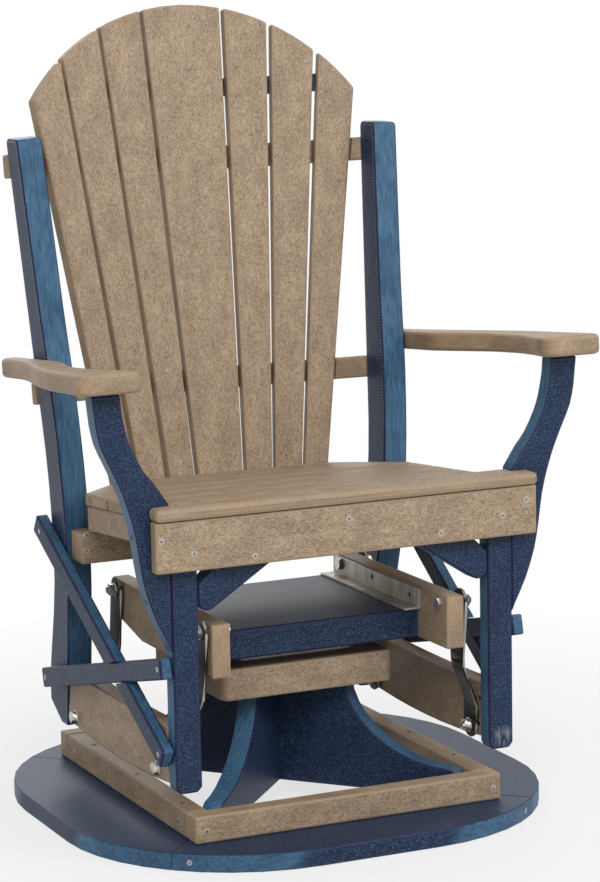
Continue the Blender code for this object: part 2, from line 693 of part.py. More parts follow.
def links():
    """Four flat steel links, each with its origin on its upper pivot."""
    half = LINK_WIDTH / 2
    eyes = arc((0, 0), half, 0, math.pi) + arc((0, -LINK_LENGTH), half, math.pi, 2 * math.pi)
    hole = BOLT_RADIUS + BOLT_CLEARANCE
    for where, side in SIDES.items():
        for end, y in PIVOT_YS.items():
            name = f"link_{end}_{where}"
            pivot = (side * LINK_TOP_X, y, UPPER_PIVOT_Z)
            turn = (LINK_LEAN, 0, 0)
            mesh = outline_mesh(name, [link_bend(side)], LINK_WIDTH + OVERRUN, FRONT_VIEW)
            link = piece(name, mesh, DARK_STEEL, SWIVEL, pivot, turn, arris=0)
            eye_name = f"{name}_eyes"
            blank = outline_mesh(eye_name, [eyes], 4 * OVERRUN, SIDE_VIEW)
            combine(link, tool(eye_name, blank, link, (0, 0, 0)), "INTERSECT")
            for number, z in enumerate((0, -LINK_LENGTH)):
                hole_name = f"{name}_hole_{number}"
                mesh = cylinder_mesh(hole_name, hole, 4 * OVERRUN, ROUND_STEPS)
                combine(link, tool(hole_name, mesh, link, (0, 0, z)), "DIFFERENCE")


def sagging_line(first, last, sag):
    """Points from first to last along a shallow curve that hangs lowest in the middle."""
    line = []
    for i in range(LOWER_RAIL_STEPS + 1):
        share = i / LOWER_RAIL_STEPS
        point = Vector(first).lerp(Vector(last), share)
        line.append((point.x, point.y - 4 * sag * share * (1 - share)))
    return line


def lower_rails():
    """The chair's lower side rails, each with the two bolts that the links carry it by."""
    front, rear_gap = LEG_REAR + FIT_GAP, FIT_GAP / math.cos(math.pi / 8)
    post_front = post_edges()[0]
    top = LOWER_RAIL_Z + LOWER_RAIL_HEIGHT
    low_rear = height_lookup(post_front, LOWER_RAIL_Z) - rear_gap
    top_rear = height_lookup(post_front, top) - rear_gap
    outline = sagging_line((front, LOWER_RAIL_Z), (low_rear, LOWER_RAIL_Z), LOWER_RAIL_BELLY)
    outline += sagging_line((top_rear, top), (front, top), LOWER_RAIL_DISH)
    link_outer = LINK_FOOT_X + LINK_STEEL / 2 + FIT_GAP
    link_inner = LINK_FOOT_X - LINK_STEEL / 2 - FIT_GAP
    nut = link_inner - WASHER_THICK
    end = nut - NUT_HEIGHT - BOLT_STUB
    head = LEG_OUTER + WASHER_THICK
    for where, side in SIDES.items():
        name = f"lower_rail_{where}"
        mesh = outline_mesh(name, [outline], LOWER_RAIL_THICK, SIDE_VIEW)
        rail = piece(name, mesh, TAN, CHAIR, (side * (LOWER_RAIL_INNER + LEG_OUTER) / 2, 0, 0))
        for end_name, y in PIVOT_YS.items():
            sections = [
                (BOLT_RADIUS, head, head + BOLT_HEAD_HEIGHT / 2),
                (WASHER_RADIUS, LEG_OUTER - WASHER_THICK, head),
                (BOLT_RADIUS, LOWER_RAIL_INNER + WASHER_THICK, LEG_OUTER - WASHER_THICK),
                (WASHER_RADIUS, link_outer, LOWER_RAIL_INNER + WASHER_THICK),
                (BOLT_RADIUS, link_inner, link_outer),
                (WASHER_RADIUS, nut, link_inner),
                (BOLT_RADIUS, end, nut),
            ]
            hexes = [
                (BOLT_HEAD_RADIUS, head - WASHER_THICK / 2, head + BOLT_HEAD_HEIGHT),
                (NUT_RADIUS, end + BOLT_STUB, nut + WASHER_THICK / 2),
            ]
            pivot = (y + LINK_LEAN_RUN, LOWER_PIVOT_Z)
            add_bolt(rail, f"{name}_{end_name}_bolt", CHAIR, side, pivot, sections, hexes)


def front_legs():
    for where, side in SIDES.items():
        near, far, cut = LEG_INNER, LEG_OUTER, LEG_FOOT_CHAMFER
        points = [
            (near + cut, LEG_FOOT_Z), (far - cut, LEG_FOOT_Z), (far, LEG_FOOT_Z + cut),
            (far, LEG_TOP), (near, LEG_TOP), (near, LEG_FOOT_Z + cut),
        ]
        name = f"front_leg_{where}"
        outline = [(side * x, z) for x, z in points]
        mesh = outline_mesh(name, [outline], LEG_THICK, FRONT_VIEW)
        piece(name, mesh, NAVY, CHAIR, (0, LEG_FRONT + LEG_THICK / 2, 0))


def rear_posts():
    """Posts that are legs below and carry the back above, leaning outwards from the foot."""
    front, rear = post_edges()
    top_front = rounded_corner(front[-2], front[-1], rear[-1], POST_TOP_RADIUS)
    top_rear = rounded_corner(front[-1], rear[-1], rear[-2], POST_TOP_RADIUS)
    points = front[:-1] + top_front + top_rear + rear[-2::-1]
    outline = [(y, z - LEG_FOOT_Z) for y, z in points]
    half = LEG_WIDTH / 2 / math.cos(POST_SPLAY)
    for where, side in SIDES.items():
        name = f"rear_post_{where}"
        mesh = outline_mesh(name, [outline], LEG_WIDTH, SIDE_VIEW)
        place = (side * (LEG_OUTER - half), 0, LEG_FOOT_Z)
        piece(name, mesh, NAVY, CHAIR, place, (0, side * POST_SPLAY, 0))


def brace_bars():
    """Two bars a side, on the outer faces of the leg, lower rail and post, crossing in a half-lap."""
    post_front = post_edges()[0]
    for where, side in SIDES.items():
        bars = []
        for kind, front, rear in (
            ("low", LOW_BRACE_FRONT, LOW_BRACE_REAR),
            ("high", HIGH_BRACE_FRONTS[where], HIGH_BRACE_REAR),
        ):
            rise = (rear[1] - front[1]) / (rear[0] - front[0])
            meet_y = height_lookup(post_front, rear[1])
            meet_z = front[1] + rise * (meet_y - front[0]) + BRACE_WIDTH / 2 * math.hypot(1, rise)
            start_x = LEG_OUTER + FIT_GAP
            toe = (post_outer(meet_z) + FIT_GAP - start_x) / (meet_y - front[0])
            first = Vector((side * (start_x + BRACE_THICK / 2), *front))
            last_x = start_x + toe * (rear[0] - front[0]) + BRACE_THICK / 2
            last = Vector((side * last_x, *rear))
            along = (last - first).normalized()
            across = (Vector((0, 0, 1)) - along * along.z).normalized()
            turn = Matrix((along.cross(across), along, across)).transposed().to_euler()
            name = f"brace_bar_{kind}_{where}"
            mesh = box_mesh(name, (BRACE_THICK, (last - first).length, BRACE_WIDTH))
            bar = piece(name, mesh, NAVY, CHAIR, (first + last) / 2, turn)
            bars.append((bar, first, along, turn))
        half_lap(*bars, side)


def half_lap(low, high, side):
    """Notches two crossing bars: the low one keeps its outer half there, the high one its inner half."""
    (low_bar, low_start, low_way, low_turn), (high_bar, high_start, high_way, high_turn) = low, high
    across = low_way.y * high_way.z - low_way.z * high_way.y
    offset = high_start - low_start
    reach = (offset.y * high_way.z - offset.z * high_way.y) / across
    on_low = low_start + low_way * reach
    on_high = high_start + high_way * ((on_low.y - high_start.y) / high_way.y)
    middle = (on_low + on_high) / 2
    shift = side * (BRACE_THICK - FIT_GAP) / 2
    size = (BRACE_THICK, LAP_REACH_SHARE * BRACE_WIDTH, BRACE_WIDTH + 4 * FIT_GAP)
    for bar, turn, push in ((low_bar, high_turn, -shift), (high_bar, low_turn, shift)):
        level = turn.copy()
        level.z = (low_turn.z + high_turn.z) / 2
        name = f"{bar.name}_lap"
        cutter = tool(name, box_mesh(name, size), CHAIR, middle + Vector((push, 0, 0)), level)
        combine(bar, cutter, "DIFFERENCE")


def apron():
    low = (-SEAT_FRONT_HALF, APRON_REAR - APRON_THICK, LEG_TOP - APRON_HEIGHT)
    board("apron", TAN, CHAIR, low, (SEAT_FRONT_HALF, APRON_REAR, LEG_TOP))


def corner_braces():
    """Short slanted braces that fill the corners under the apron."""
    under = LEG_TOP - APRON_HEIGHT
    leg = LEG_INNER - FIT_GAP
    low_end = (leg, LEG_TOP - CORNER_LEG_LOW)
    high_end = (leg, LEG_TOP - CORNER_LEG_HIGH)
    top_near = (leg - CORNER_TOP_REACH, under + CORNER_TOP)
    top_far = (leg - CORNER_REACH, under + CORNER_TOP)
    under_far = (leg - CORNER_REACH, under - FIT_GAP)
    points = rounded_corner(high_end, low_end, under_far, CORNER_END_RADIUS)
    points += rounded_corner(low_end, under_far, top_far, CORNER_END_RADIUS)
    points += [top_far, top_near, high_end]
    for where, side in SIDES.items():
        name = f"corner_brace_{where}"
        outline = [(side * x, z) for x, z in points]
        mesh = outline_mesh(name, [outline], LEG_THICK, FRONT_VIEW)
        piece(name, mesh, NAVY, CHAIR, (0, LEG_FRONT + LEG_THICK / 2, 0))


def front_slat():
    """The nosed front slat, notched at its ends round the arm supports."""
    rear, top = SEAT_NOSE + FRONT_SLAT_WIDTH, SEAT_UNDER_Z + SLAT_THICK
    low = (-SEAT_FRONT_HALF, SEAT_NOSE, SEAT_UNDER_Z)
    slat = board("front_slat", TAN, CHAIR, low, (SEAT_FRONT_HALF, rear, top), BROAD_ARRIS)
    notch = (2 * OVERRUN + SEAT_FRONT_HALF - SEAT_HALF, 2 * OVERRUN + LEG_THICK, 2 * OVERRUN + SLAT_THICK)
    for where, side in SIDES.items():
        name = f"front_slat_notch_{where}"
        place = (side * (SEAT_HALF + notch[0] / 2), APRON_REAR + notch[1] / 2, SEAT_UNDER_Z + SLAT_THICK / 2)
        combine(slat, tool(name, box_mesh(name, notch), CHAIR, place), "DIFFERENCE")


def seat_depth(x):
    """From the first slat's front edge to the back slats' front faces, along the seat's slope."""
    under = SEAT_UNDER_Z - SEAT_DROP - (BACK_FOOT_Y - FIRST_SLAT) * math.tan(SEAT_SLOPE)
    return (hollow_y(x, under) - FIRST_SLAT) / math.cos(SEAT_SLOPE)


def seat_rear_line():
    """The seat's rear edge in front of the slats' feet, a little past it for the beds to be cut in."""
    xs = BACK_LOW_EDGES[-2::-1]
    half = [(x, seat_depth(x) + BED_BITE) for x in xs]
    return half + [(-x, y) for x, y in reversed(half)]


def rear_corner(depth, inset):
    """The line that the seat's rear corner is sawn to, clear of the post: two points in the seat's frame."""
    return (SEAT_HALF - inset, depth - REAR_SLAT_CUT_Y), (SEAT_HALF - REAR_SLAT_CUT_X, depth - inset)


def seat_slats(beds):
    """Slats across the supports, and a wider rear one with its corners sawn off."""
    for number in range(SLAT_COUNT):
        near = (-SEAT_HALF, number * SLAT_PITCH, 0)
        far = (SEAT_HALF, number * SLAT_PITCH + SLAT_WIDTH, SLAT_THICK)
        board(f"seat_slat_{number + 1}", TAN, SEAT, near, far)
    start = SLAT_COUNT * SLAT_PITCH
    depth = seat_depth(BACK_LOW_EDGES[-1])
    side_end, rear_end = rear_corner(depth, 0)
    half = [(SEAT_HALF, start)]
    half += rounded_corner((SEAT_HALF, start), side_end, rear_end, OVERRUN)
    half += rounded_corner(side_end, rear_end, (0, depth), OVERRUN)
    points = half + seat_rear_line() + [(-x, y) for x, y in reversed(half)]
    mesh = outline_mesh("seat_slat_rear", [points], SLAT_THICK, PLAN)
    slat = piece("seat_slat_rear", mesh, TAN, SEAT, (0, 0, SLAT_THICK / 2))
    cut_beds(slat, beds)


def seat_supports():
    """Bars under the slats' ends, from the front legs to the cross rail, cut like the rear slat."""
    side_end, rear_end = rear_corner(seat_depth(BACK_LOW_EDGES[-1]), ARRIS)
    slope = (rear_end[1] - side_end[1]) / (side_end[0] - rear_end[0])
    inner = SEAT_HALF - SUPPORT_THICK
    inner_end = side_end[1] + slope * (side_end[0] - inner)
    front = LEG_REAR + FIT_GAP - FIRST_SLAT
    front = (front + SUPPORT_HEIGHT * math.sin(SEAT_SLOPE)) / math.cos(SEAT_SLOPE)
    for where, side in SIDES.items():
        name = f"seat_support_{where}"
        points = [(inner, front), (SEAT_HALF - ARRIS, front), side_end, (inner, inner_end)]
        outline = [(side * x, y) for x, y in points]
        mesh = outline_mesh(name, [outline], SUPPORT_HEIGHT, PLAN)
        piece(name, mesh, TAN, SEAT, (0, 0, -FIT_GAP - SUPPORT_HEIGHT / 2))


def cross_rail():
    """The rail on the posts' front faces that carries the rear ends of the seat supports."""
    deck = SEAT_UNDER_Z - SEAT_DROP - (FIT_GAP + SUPPORT_HEIGHT) / math.cos(SEAT_SLOPE)
    post_front = post_edges()[0]
    rear = height_lookup(post_front, deck) - FIT_GAP
    for _ in range(ROUND_STEPS):
        top = deck - (rear - FIRST_SLAT) * math.tan(SEAT_SLOPE) - FIT_GAP
        rear = height_lookup(post_front, top) - FIT_GAP
    low = (-CROSS_HALF, rear - CROSS_DEPTH, top - CROSS_HEIGHT)
    board("cross_rail", TAN, CHAIR, low, (CROSS_HALF, rear, top))


def arm_underside(y):
    """The height of the arms' underside at one place from front to rear."""
    return ARM_TOP_Z - (y - ARM_FRONT) * math.tan(ARM_SLOPE) - ARM_THICK / math.cos(ARM_SLOPE)


def arm_supports():
    """Bracket-shaped supports on the legs' outer faces, swept outwards up to the arms."""
    near = LEG_OUTER + FIT_GAP
    tall = arm_underside(LEG_REAR) - FIT_GAP - ARM_SUPPORT_TIP_Z

    def at(share):
        return (near + ARM_SUPPORT_REACH * share[0], ARM_SUPPORT_TIP_Z + tall * share[1])

    outer = smooth_line([at(share) for share in ARM_SUPPORT_OUTER_SHARES], 2)
    inner = smooth_line([at(share) for share in ARM_SUPPORT_INNER_SHARES], 2)
    points = [at((0, 0)), *outer, at((1, 1)), at((ARM_SUPPORT_TOP_SHARE, 1)), *inner]
    points.append(at((0, ARM_SUPPORT_NOSE_SHARE)))
    for where, side in SIDES.items():
        name = f"arm_support_{where}"
        mesh = outline_mesh(name, [[(side * x, z) for x, z in points]], LEG_THICK, FRONT_VIEW)
        piece(name, mesh, NAVY, CHAIR, (0, LEG_FRONT + LEG_THICK / 2, 0))


def arms():
    """Broad, shaped arms that fall to the rear and run on past the outside of the posts."""
    inner = post_outer(ARM_TOP_Z) + FIT_GAP

    def at(share):
        return (inner + ARM_WIDTH * share[0], ARM_LENGTH * share[1])

    front_outer, front_inner = at((1, 0)), at((ARM_FRONT_SHARE, 0))
    outer = smooth_line([at(share) for share in ARM_OUTER_SHARES])
    inside = smooth_line([at(share) for share in ARM_INNER_SHARES])
    tail_outer, tail_inner = at((ARM_TAIL_SHARE, 1)), at((0, 1))
    points = rounded_corner(front_inner, front_outer, outer[0], ARM_CORNER_RADIUS) + outer
    points += rounded_corner(outer[-1], tail_outer, tail_inner, ARM_TAIL_RADIUS)
    points += rounded_corner(tail_outer, tail_inner, inside[0], ARM_TAIL_RADIUS) + inside
    points += rounded_corner(inside[-1], front_inner, front_outer, ARM_CORNER_RADIUS)
    for where, side in SIDES.items():
        name = f"arm_{where}"
        mesh = outline_mesh(name, [[(side * x, y) for x, y in points]], ARM_THICK, PLAN)
        piece(name, mesh, TAN, ARMS, (0, 0, -ARM_THICK / 2), arris=BROAD_ARRIS)


def at_height(low, high, height):
    """A measure of the back at one height, from its values at the low and the high line."""
    return low + (high - low) * (height - BACK_LOW_Z) / (BACK_HIGH_Z - BACK_LOW_Z)


def fan_edge(number, height):
    """How far from the middle the joint line between two back slats stands at one height."""
    return at_height(BACK_LOW_EDGES[number], BACK_HIGH_EDGES[number], height)


def hollow_y(x, height):
    """Where the hollow back's front stands: furthest to the rear in the middle."""
    hollow = at_height(BACK_LOW_HOLLOW, BACK_HIGH_HOLLOW, height)
    share = x / fan_edge(-1, height)
    return at_height(BACK_LOW_FACE, BACK_HIGH_FACE, height) + hollow * (1 - share**2)


def top_curve(x):
    """The height of the back's round top at one distance from the middle."""
    return BACK_TOP_Z - BACK_TOP_RADIUS + math.sqrt(BACK_TOP_RADIUS**2 - x**2)


def joint_top(number, shift):
    """Where a slat's edge, shifted from a joint line, meets the back's round top."""
    height = BACK_HIGH_Z
    for _ in range(ROUND_STEPS):
        x = fan_edge(number, height) + shift
        height = top_curve(x)
    return x


def slat_middle(far, height):
    """The middle of a right-hand slat's front at one height, and the run across it from joint to joint."""
    outer = fan_edge(far, height)
    inner = fan_edge(far - 1, height) if far else -outer
    ends = [Vector((x, hollow_y(x, height))) for x in (inner, outer)]
    return (ends[0] + ends[1]) / 2, ends[1] - ends[0]


def slat_stance(far):
    """How a right-hand slat stands in the hollow: its foot, its lean and its turn about the vertical."""
    across = slat_middle(far, (BACK_LOW_Z + BACK_HIGH_Z) / 2)[1]
    turn = math.atan2(across.y, across.x)
    foot, top = slat_middle(far, BACK_FOOT_Z)[0], slat_middle(far, BACK_HIGH_Z)[0]
    run = (top.y - foot.y - (top.x - foot.x) * math.tan(turn)) / (BACK_HIGH_Z - BACK_FOOT_Z)
    return foot, math.atan(run * math.cos(turn)), turn


def slat_blank(name, number, points, thickness):
    """A board in a slat's stance, from an outline drawn in front view: its mesh, place and turn."""
    foot, lean, turn = slat_stance(abs(number))
    side = 1 if number >= 0 else -1
    outline = []
    for x, z in points:
        along = (z - BACK_FOOT_Z) / math.cos(lean)
        across = (x - foot.x + along * math.sin(lean) * math.sin(turn)) / math.cos(turn)
        outline.append((side * across, along))
    mesh = outline_mesh(name, [outline], thickness, FRONT_VIEW)
    mesh.transform(Matrix.Translation((0, BACK_SLAT_THICK / 2, 0)))
    return mesh, (side * foot.x, foot.y, BACK_FOOT_Z), (-lean, 0, side * turn)


def back_slats():
    """Seven slats, numbered from the left, that taper towards the seat."""
    half_gap = BACK_GAP / 2
    last = len(BACK_LOW_EDGES) - 1
    for number in range(-last, last + 1):
        far = abs(number)
        far_shift = 0 if far == last else -half_gap
        x2, far_foot = joint_top(far, far_shift), fan_edge(far, BACK_FOOT_Z) + far_shift
        if far:
            x1, near_foot = joint_top(far - 1, half_gap), fan_edge(far - 1, BACK_FOOT_Z) + half_gap
        else:
            x1, near_foot = -x2, -far_foot
        xs = [x2 + (x1 - x2) * i / BACK_ARC_STEPS for i in range(BACK_ARC_STEPS + 1)]
        points = [(near_foot, BACK_FOOT_Z), (far_foot, BACK_FOOT_Z), *((x, top_curve(x)) for x in xs)]
        name = f"back_slat_{number + last + 1}"
        mesh, place, turn = slat_blank(name, number, points, BACK_SLAT_THICK)
        piece(name, mesh, TAN, CHAIR, place, turn)


def slat_beds():
    """Cutters in the slats' stance, each meeting the next, for all that the slats lie against."""
    last = len(BACK_LOW_EDGES) - 1
    low = BACK_FOOT_Z - OVERRUN
    beds = []
    for number in range(-last, last + 1):
        far = abs(number)
        points = [(fan_edge(far, z) + BED_SPREAD, z) for z in (low, BACK_HIGH_Z)]
        if far:
            points += [(fan_edge(far - 1, z) - BED_SPREAD, z) for z in (BACK_HIGH_Z, low)]
        else:
            points += [(-x, z) for x, z in reversed(points)]
        name = f"slat_bed_{number + last + 1}"
        mesh, place, turn = slat_blank(name, number, points, BACK_SLAT_THICK + 2 * FIT_GAP)
        beds.append(tool(name, mesh, CHAIR, place, turn))
    return beds


def cut_beds(obj, beds):
    for bed in beds:
        combine(obj, bed, "DIFFERENCE")


def bowed_rail(name, look, half, low, tall, on_posts, beds):
    """A rail sawn to the hollow of the back, with the slats let into its front by a few millimetres."""
    height = BACK_FOOT_Z + (low + tall / 2) * math.cos(BACK_RECLINE)
    reach = min(half, fan_edge(-1, height))
    front = []
    for i in range(BACK_RAIL_STEPS + 1):
        x = reach * i / BACK_RAIL_STEPS
        back = hollow_y(x, height) + BACK_SLAT_THICK - BED_BITE - BACK_FOOT_Y
        front.append((x, back * math.cos(BACK_RECLINE) - (height - BACK_FOOT_Z) * math.sin(BACK_RECLINE)))
    if on_posts:
        front += [(post_inner(height), BACK_RAIL_FRONT), (half, BACK_RAIL_FRONT)]
    edge = front + [(x, y + BACK_RAIL_THICK) for x, y in reversed(front)]
    points = edge[1:-1] + [(-x, y) for x, y in reversed(edge)]
    mesh = outline_mesh(name, [points], tall, PLAN)
    rail = piece(name, mesh, look, BACK, (0, 0, low + tall / 2))
    cut_beds(rail, beds)


def back_rails(beds):
    """Rails behind the slats: two across the posts' rear edges, and one above them."""
    rise = math.cos(BACK_RECLINE)
    upper_half = post_outer(BACK_FOOT_Z + UPPER_RAIL_LOW * rise) + RAIL_PAST_POST
    rail_y = back_rail_y(ARM_TOP_Z) + BACK_RAIL_THICK
    middle_top = (arm_underside(rail_y) - BACK_FOOT_Z) / rise - BACK_RAIL_THICK * math.tan(BACK_RECLINE)
    middle_low = middle_top - MIDDLE_RAIL_HEIGHT
    middle_half = post_outer(BACK_FOOT_Z + middle_low * rise) + RAIL_PAST_POST
    bowed_rail("back_rail_top", NAVY, TOP_RAIL_HALF, TOP_RAIL_LOW, TOP_RAIL_HEIGHT, False, beds)
    bowed_rail("back_rail_upper", TAN, upper_half, UPPER_RAIL_LOW, UPPER_RAIL_HEIGHT, True, beds)
    bowed_rail("back_rail_middle", TAN, middle_half, middle_low, MIDDLE_RAIL_HEIGHT, True, beds)


def foot_rail(beds):
    """The rail between the posts, under the rear seat slat, that the slats' feet stand behind."""
    rear = seat_depth(BACK_LOW_EDGES[-1])
    half = post_inner(BACK_FOOT_Z - OVERRUN) - FIT_GAP
    front = rear - FOOT_RAIL_DEPTH
    edge = fan_edge(-1, BACK_FOOT_Z)
    points = [(-half, front), (half, front), (half, rear), (edge, rear), *seat_rear_line()]
    points += [(-edge, rear), (-half, rear)]
    mesh = outline_mesh("back_rail_foot", [points], FOOT_RAIL_HEIGHT, PLAN)
    rail = piece("back_rail_foot", mesh, TAN, SEAT, (0, 0, -FIT_GAP - FOOT_RAIL_HEIGHT / 2))
    cut_beds(rail, beds)


BASE = frame("base_frame", None)
SWIVEL = frame("swivel_frame", BASE)
CHAIR_PIVOT = Vector((0, PIVOT_YS["front"] + LINK_LEAN_RUN, LOWER_PIVOT_Z))
CHAIR = frame("chair_frame", frame("chair_pivot", SWIVEL, CHAIR_PIVOT), -CHAIR_PIVOT)
SEAT = frame("seat_frame", CHAIR, (0, FIRST_SLAT, SEAT_UNDER_Z - SEAT_DROP), (-SEAT_SLOPE, 0, 0))
ARMS = frame("arm_frame", CHAIR, (0, ARM_FRONT, ARM_TOP_Z), (-ARM_SLOPE, 0, 0))
BACK = frame("back_frame", CHAIR, (0, BACK_FOOT_Y, BACK_FOOT_Z), (-BACK_RECLINE, 0, 0))

base_ring()
base_rails()
pedestal_panels()
swivel_block()
bearing_plate("bearing_plate_lower", BASE, BLOCK_TOP + FIT_GAP, 1)
bearing_plate("bearing_plate_upper", SWIVEL, PLATFORM_UNDER - FIT_GAP, -1)
platform_board()
hanger_rails()
hanger_angles()
links()
lower_rails()
front_legs()
rear_posts()
brace_bars()
apron()
corner_braces()
front_slat()
BEDS = slat_beds()
seat_slats(BEDS)
seat_supports()
cross_rail()
arm_supports()
arms()
back_slats()
back_rails(BEDS)
foot_rail(BEDS)
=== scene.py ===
"""The swivel glider as it stands for its picture: boards, steel, screws, camera and light."""

import math

import bpy
from mathutils import Matrix, Vector


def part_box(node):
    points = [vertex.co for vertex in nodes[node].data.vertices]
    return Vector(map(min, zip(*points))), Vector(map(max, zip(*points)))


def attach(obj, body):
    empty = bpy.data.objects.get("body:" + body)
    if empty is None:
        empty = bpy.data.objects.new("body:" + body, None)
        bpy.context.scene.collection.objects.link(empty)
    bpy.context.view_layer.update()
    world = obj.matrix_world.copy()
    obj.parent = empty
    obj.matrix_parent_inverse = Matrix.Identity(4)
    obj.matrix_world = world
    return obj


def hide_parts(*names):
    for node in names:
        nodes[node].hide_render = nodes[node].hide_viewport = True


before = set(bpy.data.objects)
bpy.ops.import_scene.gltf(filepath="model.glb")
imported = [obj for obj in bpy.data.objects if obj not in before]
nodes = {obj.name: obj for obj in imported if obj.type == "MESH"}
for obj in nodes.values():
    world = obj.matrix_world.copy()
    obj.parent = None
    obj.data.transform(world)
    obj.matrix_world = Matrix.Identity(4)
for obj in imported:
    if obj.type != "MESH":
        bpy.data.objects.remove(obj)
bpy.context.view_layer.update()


# The camera stands to the front and left of the chair, at the height of a standing person's chest.
# The picture is upright, and its optical centre lies a little to the right of and below its middle.
PICTURE_WIDTH, PICTURE_HEIGHT = 600, 882
OPTICAL_CENTRE = (314.7, 451.2)
FOCAL_PIXELS = 3047.0
SENSOR_WIDTH = 36
CAMERA_PLACE = (-1.7360, -3.9130, 1.2300)
YAW, PITCH, ROLL = math.radians(24.83), math.radians(-9.65), math.radians(-1.07)
FARTHEST_SEEN = 200

level_right = Vector((math.cos(YAW), -math.sin(YAW), 0))
forward = Vector((math.sin(YAW) * math.cos(PITCH), math.cos(YAW) * math.cos(PITCH), math.sin(PITCH)))
level_up = level_right.cross(forward)
picture_right = math.cos(ROLL) * level_right + math.sin(ROLL) * level_up
picture_up = math.cos(ROLL) * level_up - math.sin(ROLL) * level_right

lens = bpy.data.cameras.new("picture_camera")
lens.sensor_width = SENSOR_WIDTH
lens.lens = FOCAL_PIXELS * SENSOR_WIDTH / PICTURE_HEIGHT
lens.shift_x = (PICTURE_WIDTH / 2 - OPTICAL_CENTRE[0]) / PICTURE_HEIGHT
lens.shift_y = (OPTICAL_CENTRE[1] - PICTURE_HEIGHT / 2) / PICTURE_HEIGHT
lens.clip_end = FARTHEST_SEEN
camera = bpy.data.objects.new("picture_camera", lens)
bpy.context.scene.collection.objects.link(camera)
camera.matrix_world = (
    Matrix.Translation(CAMERA_PLACE)
    @ Matrix((picture_right, picture_up, -forward)).transposed().to_4x4()
)
bpy.context.scene.camera = camera


# Poly lumber is extruded from recycled plastic: its broad faces keep a matt, flecked skin, while edges
# that were sawn or routed show a smoother, paler core, with a dark line where the corner was eased.
# The core's paleness is partly its own colour and partly painted light, as if lamps lit those sides more.
NOISE_ROUGHNESS = 0.6
MIX_SHARE, MIX_BELOW, MIX_ABOVE, MIX_COLOUR = 0, 6, 7, 2
AXES = {"X": Vector((1, 0, 0)), "Y": Vector((0, 1, 0)), "Z": Vector((0, 0, 1))}


def new_material(name):
    look = bpy.data.materials.new(name)
    look.use_nodes = True
    return look, look.node_tree, look.node_tree.nodes["Principled BSDF"]


def add_node(tree, kind, settings=None, inputs=None):
    made = tree.nodes.new(kind)
    for key, value in (settings or {}).items():
        setattr(made, key, value)
    for key, value in (inputs or {}).items():
        if isinstance(value, bpy.types.NodeSocket):
            tree.links.new(value, made.inputs[key])
        else:
            made.inputs[key].default_value = value
    return made


def calculate(tree, operation, first, second=0.0):
    return add_node(tree, "ShaderNodeMath", {"operation": operation}, {0: first, 1: second}).outputs[0]


def scale_and_shift(tree, value, factor, shift):
    inputs = {0: value, 1: factor, 2: shift}
    return add_node(tree, "ShaderNodeMath", {"operation": "MULTIPLY_ADD"}, inputs).outputs[0]


def step_between(tree, value, low, high):
    """0 up to low, 1 from high on and a straight run between them. With high below low it runs downwards."""
    inputs = {"Value": value, "From Min": low, "From Max": high, "To Min": 0.0, "To Max": 1.0}
    return add_node(tree, "ShaderNodeMapRange", {"clamp": True}, inputs).outputs[0]


def blend_colours(tree, share, below, above, kind="MIX"):
    """Below where share is 0 and above where it is 1; colours are three shares or a socket."""
    ends = [c if isinstance(c, bpy.types.NodeSocket) else (*c, 1) for c in (below, above)]
    settings = {"data_type": "RGBA", "blend_type": kind}
    inputs = {MIX_SHARE: share, MIX_BELOW: ends[0], MIX_ABOVE: ends[1]}
    return add_node(tree, "ShaderNodeMix", settings, inputs).outputs[MIX_COLOUR]


def faces_along(tree, normal, way):
    """1 where the surface looks along way or against it, and 0 where it looks across."""
    inputs = {0: normal, 1: way}
    cosine = add_node(tree, "ShaderNodeVectorMath", {"operation": "DOT_PRODUCT"}, inputs)
    return calculate(tree, "ABSOLUTE", cosine.outputs["Value"])


def noise(tree, place, scale, detail, spot=(0, 0, 0), stretch=(1, 1, 1)):
    """Cloudy noise. Its spot keeps two patterns from matching, and a low stretch draws it out that way."""
    moved = {"Vector": place, "Location": spot, "Scale": stretch}
    spread = add_node(tree, "ShaderNodeMapping", inputs=moved).outputs[0]
    inputs = {"Vector": spread, "Scale": scale, "Detail": detail, "Roughness": NOISE_ROUGHNESS}
    return add_node(tree, "ShaderNodeTexNoise", inputs=inputs).outputs[0]


# The two colours of lumber, tan and navy: the moulded skin with its paler and darker flecks, the sawn
# core with its streaks, and the eased corners. The core tones are partly painted light: they are paler
# than the core's own colour, as if those sides were lit more. The reaches say how much of a fleck's own
# tone it shows.
LUMBER = {
    "tan": {
        "skin": (0.312, 0.229, 0.153),
        "pale_fleck": (0.480, 0.385, 0.280),
        "dark_fleck": (0.150, 0.096, 0.055),
        # Partly painted light: the tan core is a little paler than the skin, as if its sides were lit more.
        "core_and_painted_light": (0.345, 0.255, 0.170),
        "core_streak": (0.270, 0.190, 0.120),
        "eased": (0.330, 0.240, 0.160),
        "fleck_scale": 470,
        "grain_pull": 0.55,
        "pale_reach": 0.62,
        "dark_reach": 0.70,
        "roughness": 0.52,
    },
    "navy": {
        "skin": (0.0075, 0.0165, 0.0480),
        "pale_fleck": (0.0750, 0.1500, 0.2500),
        "dark_fleck": (0.0035, 0.0060, 0.0240),
        # Partly painted light: the navy core is many times paler than the skin, standing for light on the
        # sawn sides.
        "core_and_painted_light": (0.0560, 0.1300, 0.2200),
        "core_streak": (0.0230, 0.0740, 0.1500),
        "eased": (0.0100, 0.0110, 0.0480),
        "fleck_scale": 760,
        "grain_pull": 0.8,
        "pale_reach": 0.72,
        "dark_reach": 0.70,
        "roughness": 0.45,
    },
}
FINE_FLECK_SHARE = 0.72
COARSE_FLECK_SIZE = 0.4
PALE_FLECKS = (0.50, 0.66)
DARK_FLECKS = (0.49, 0.34)
MOTTLE_SCALE = 42
MOTTLE_RANGE = (0.35, 0.65)
MOTTLE_DARK, MOTTLE_PALE = (0.87, 0.87, 0.87), (1.12, 1.12, 1.12)


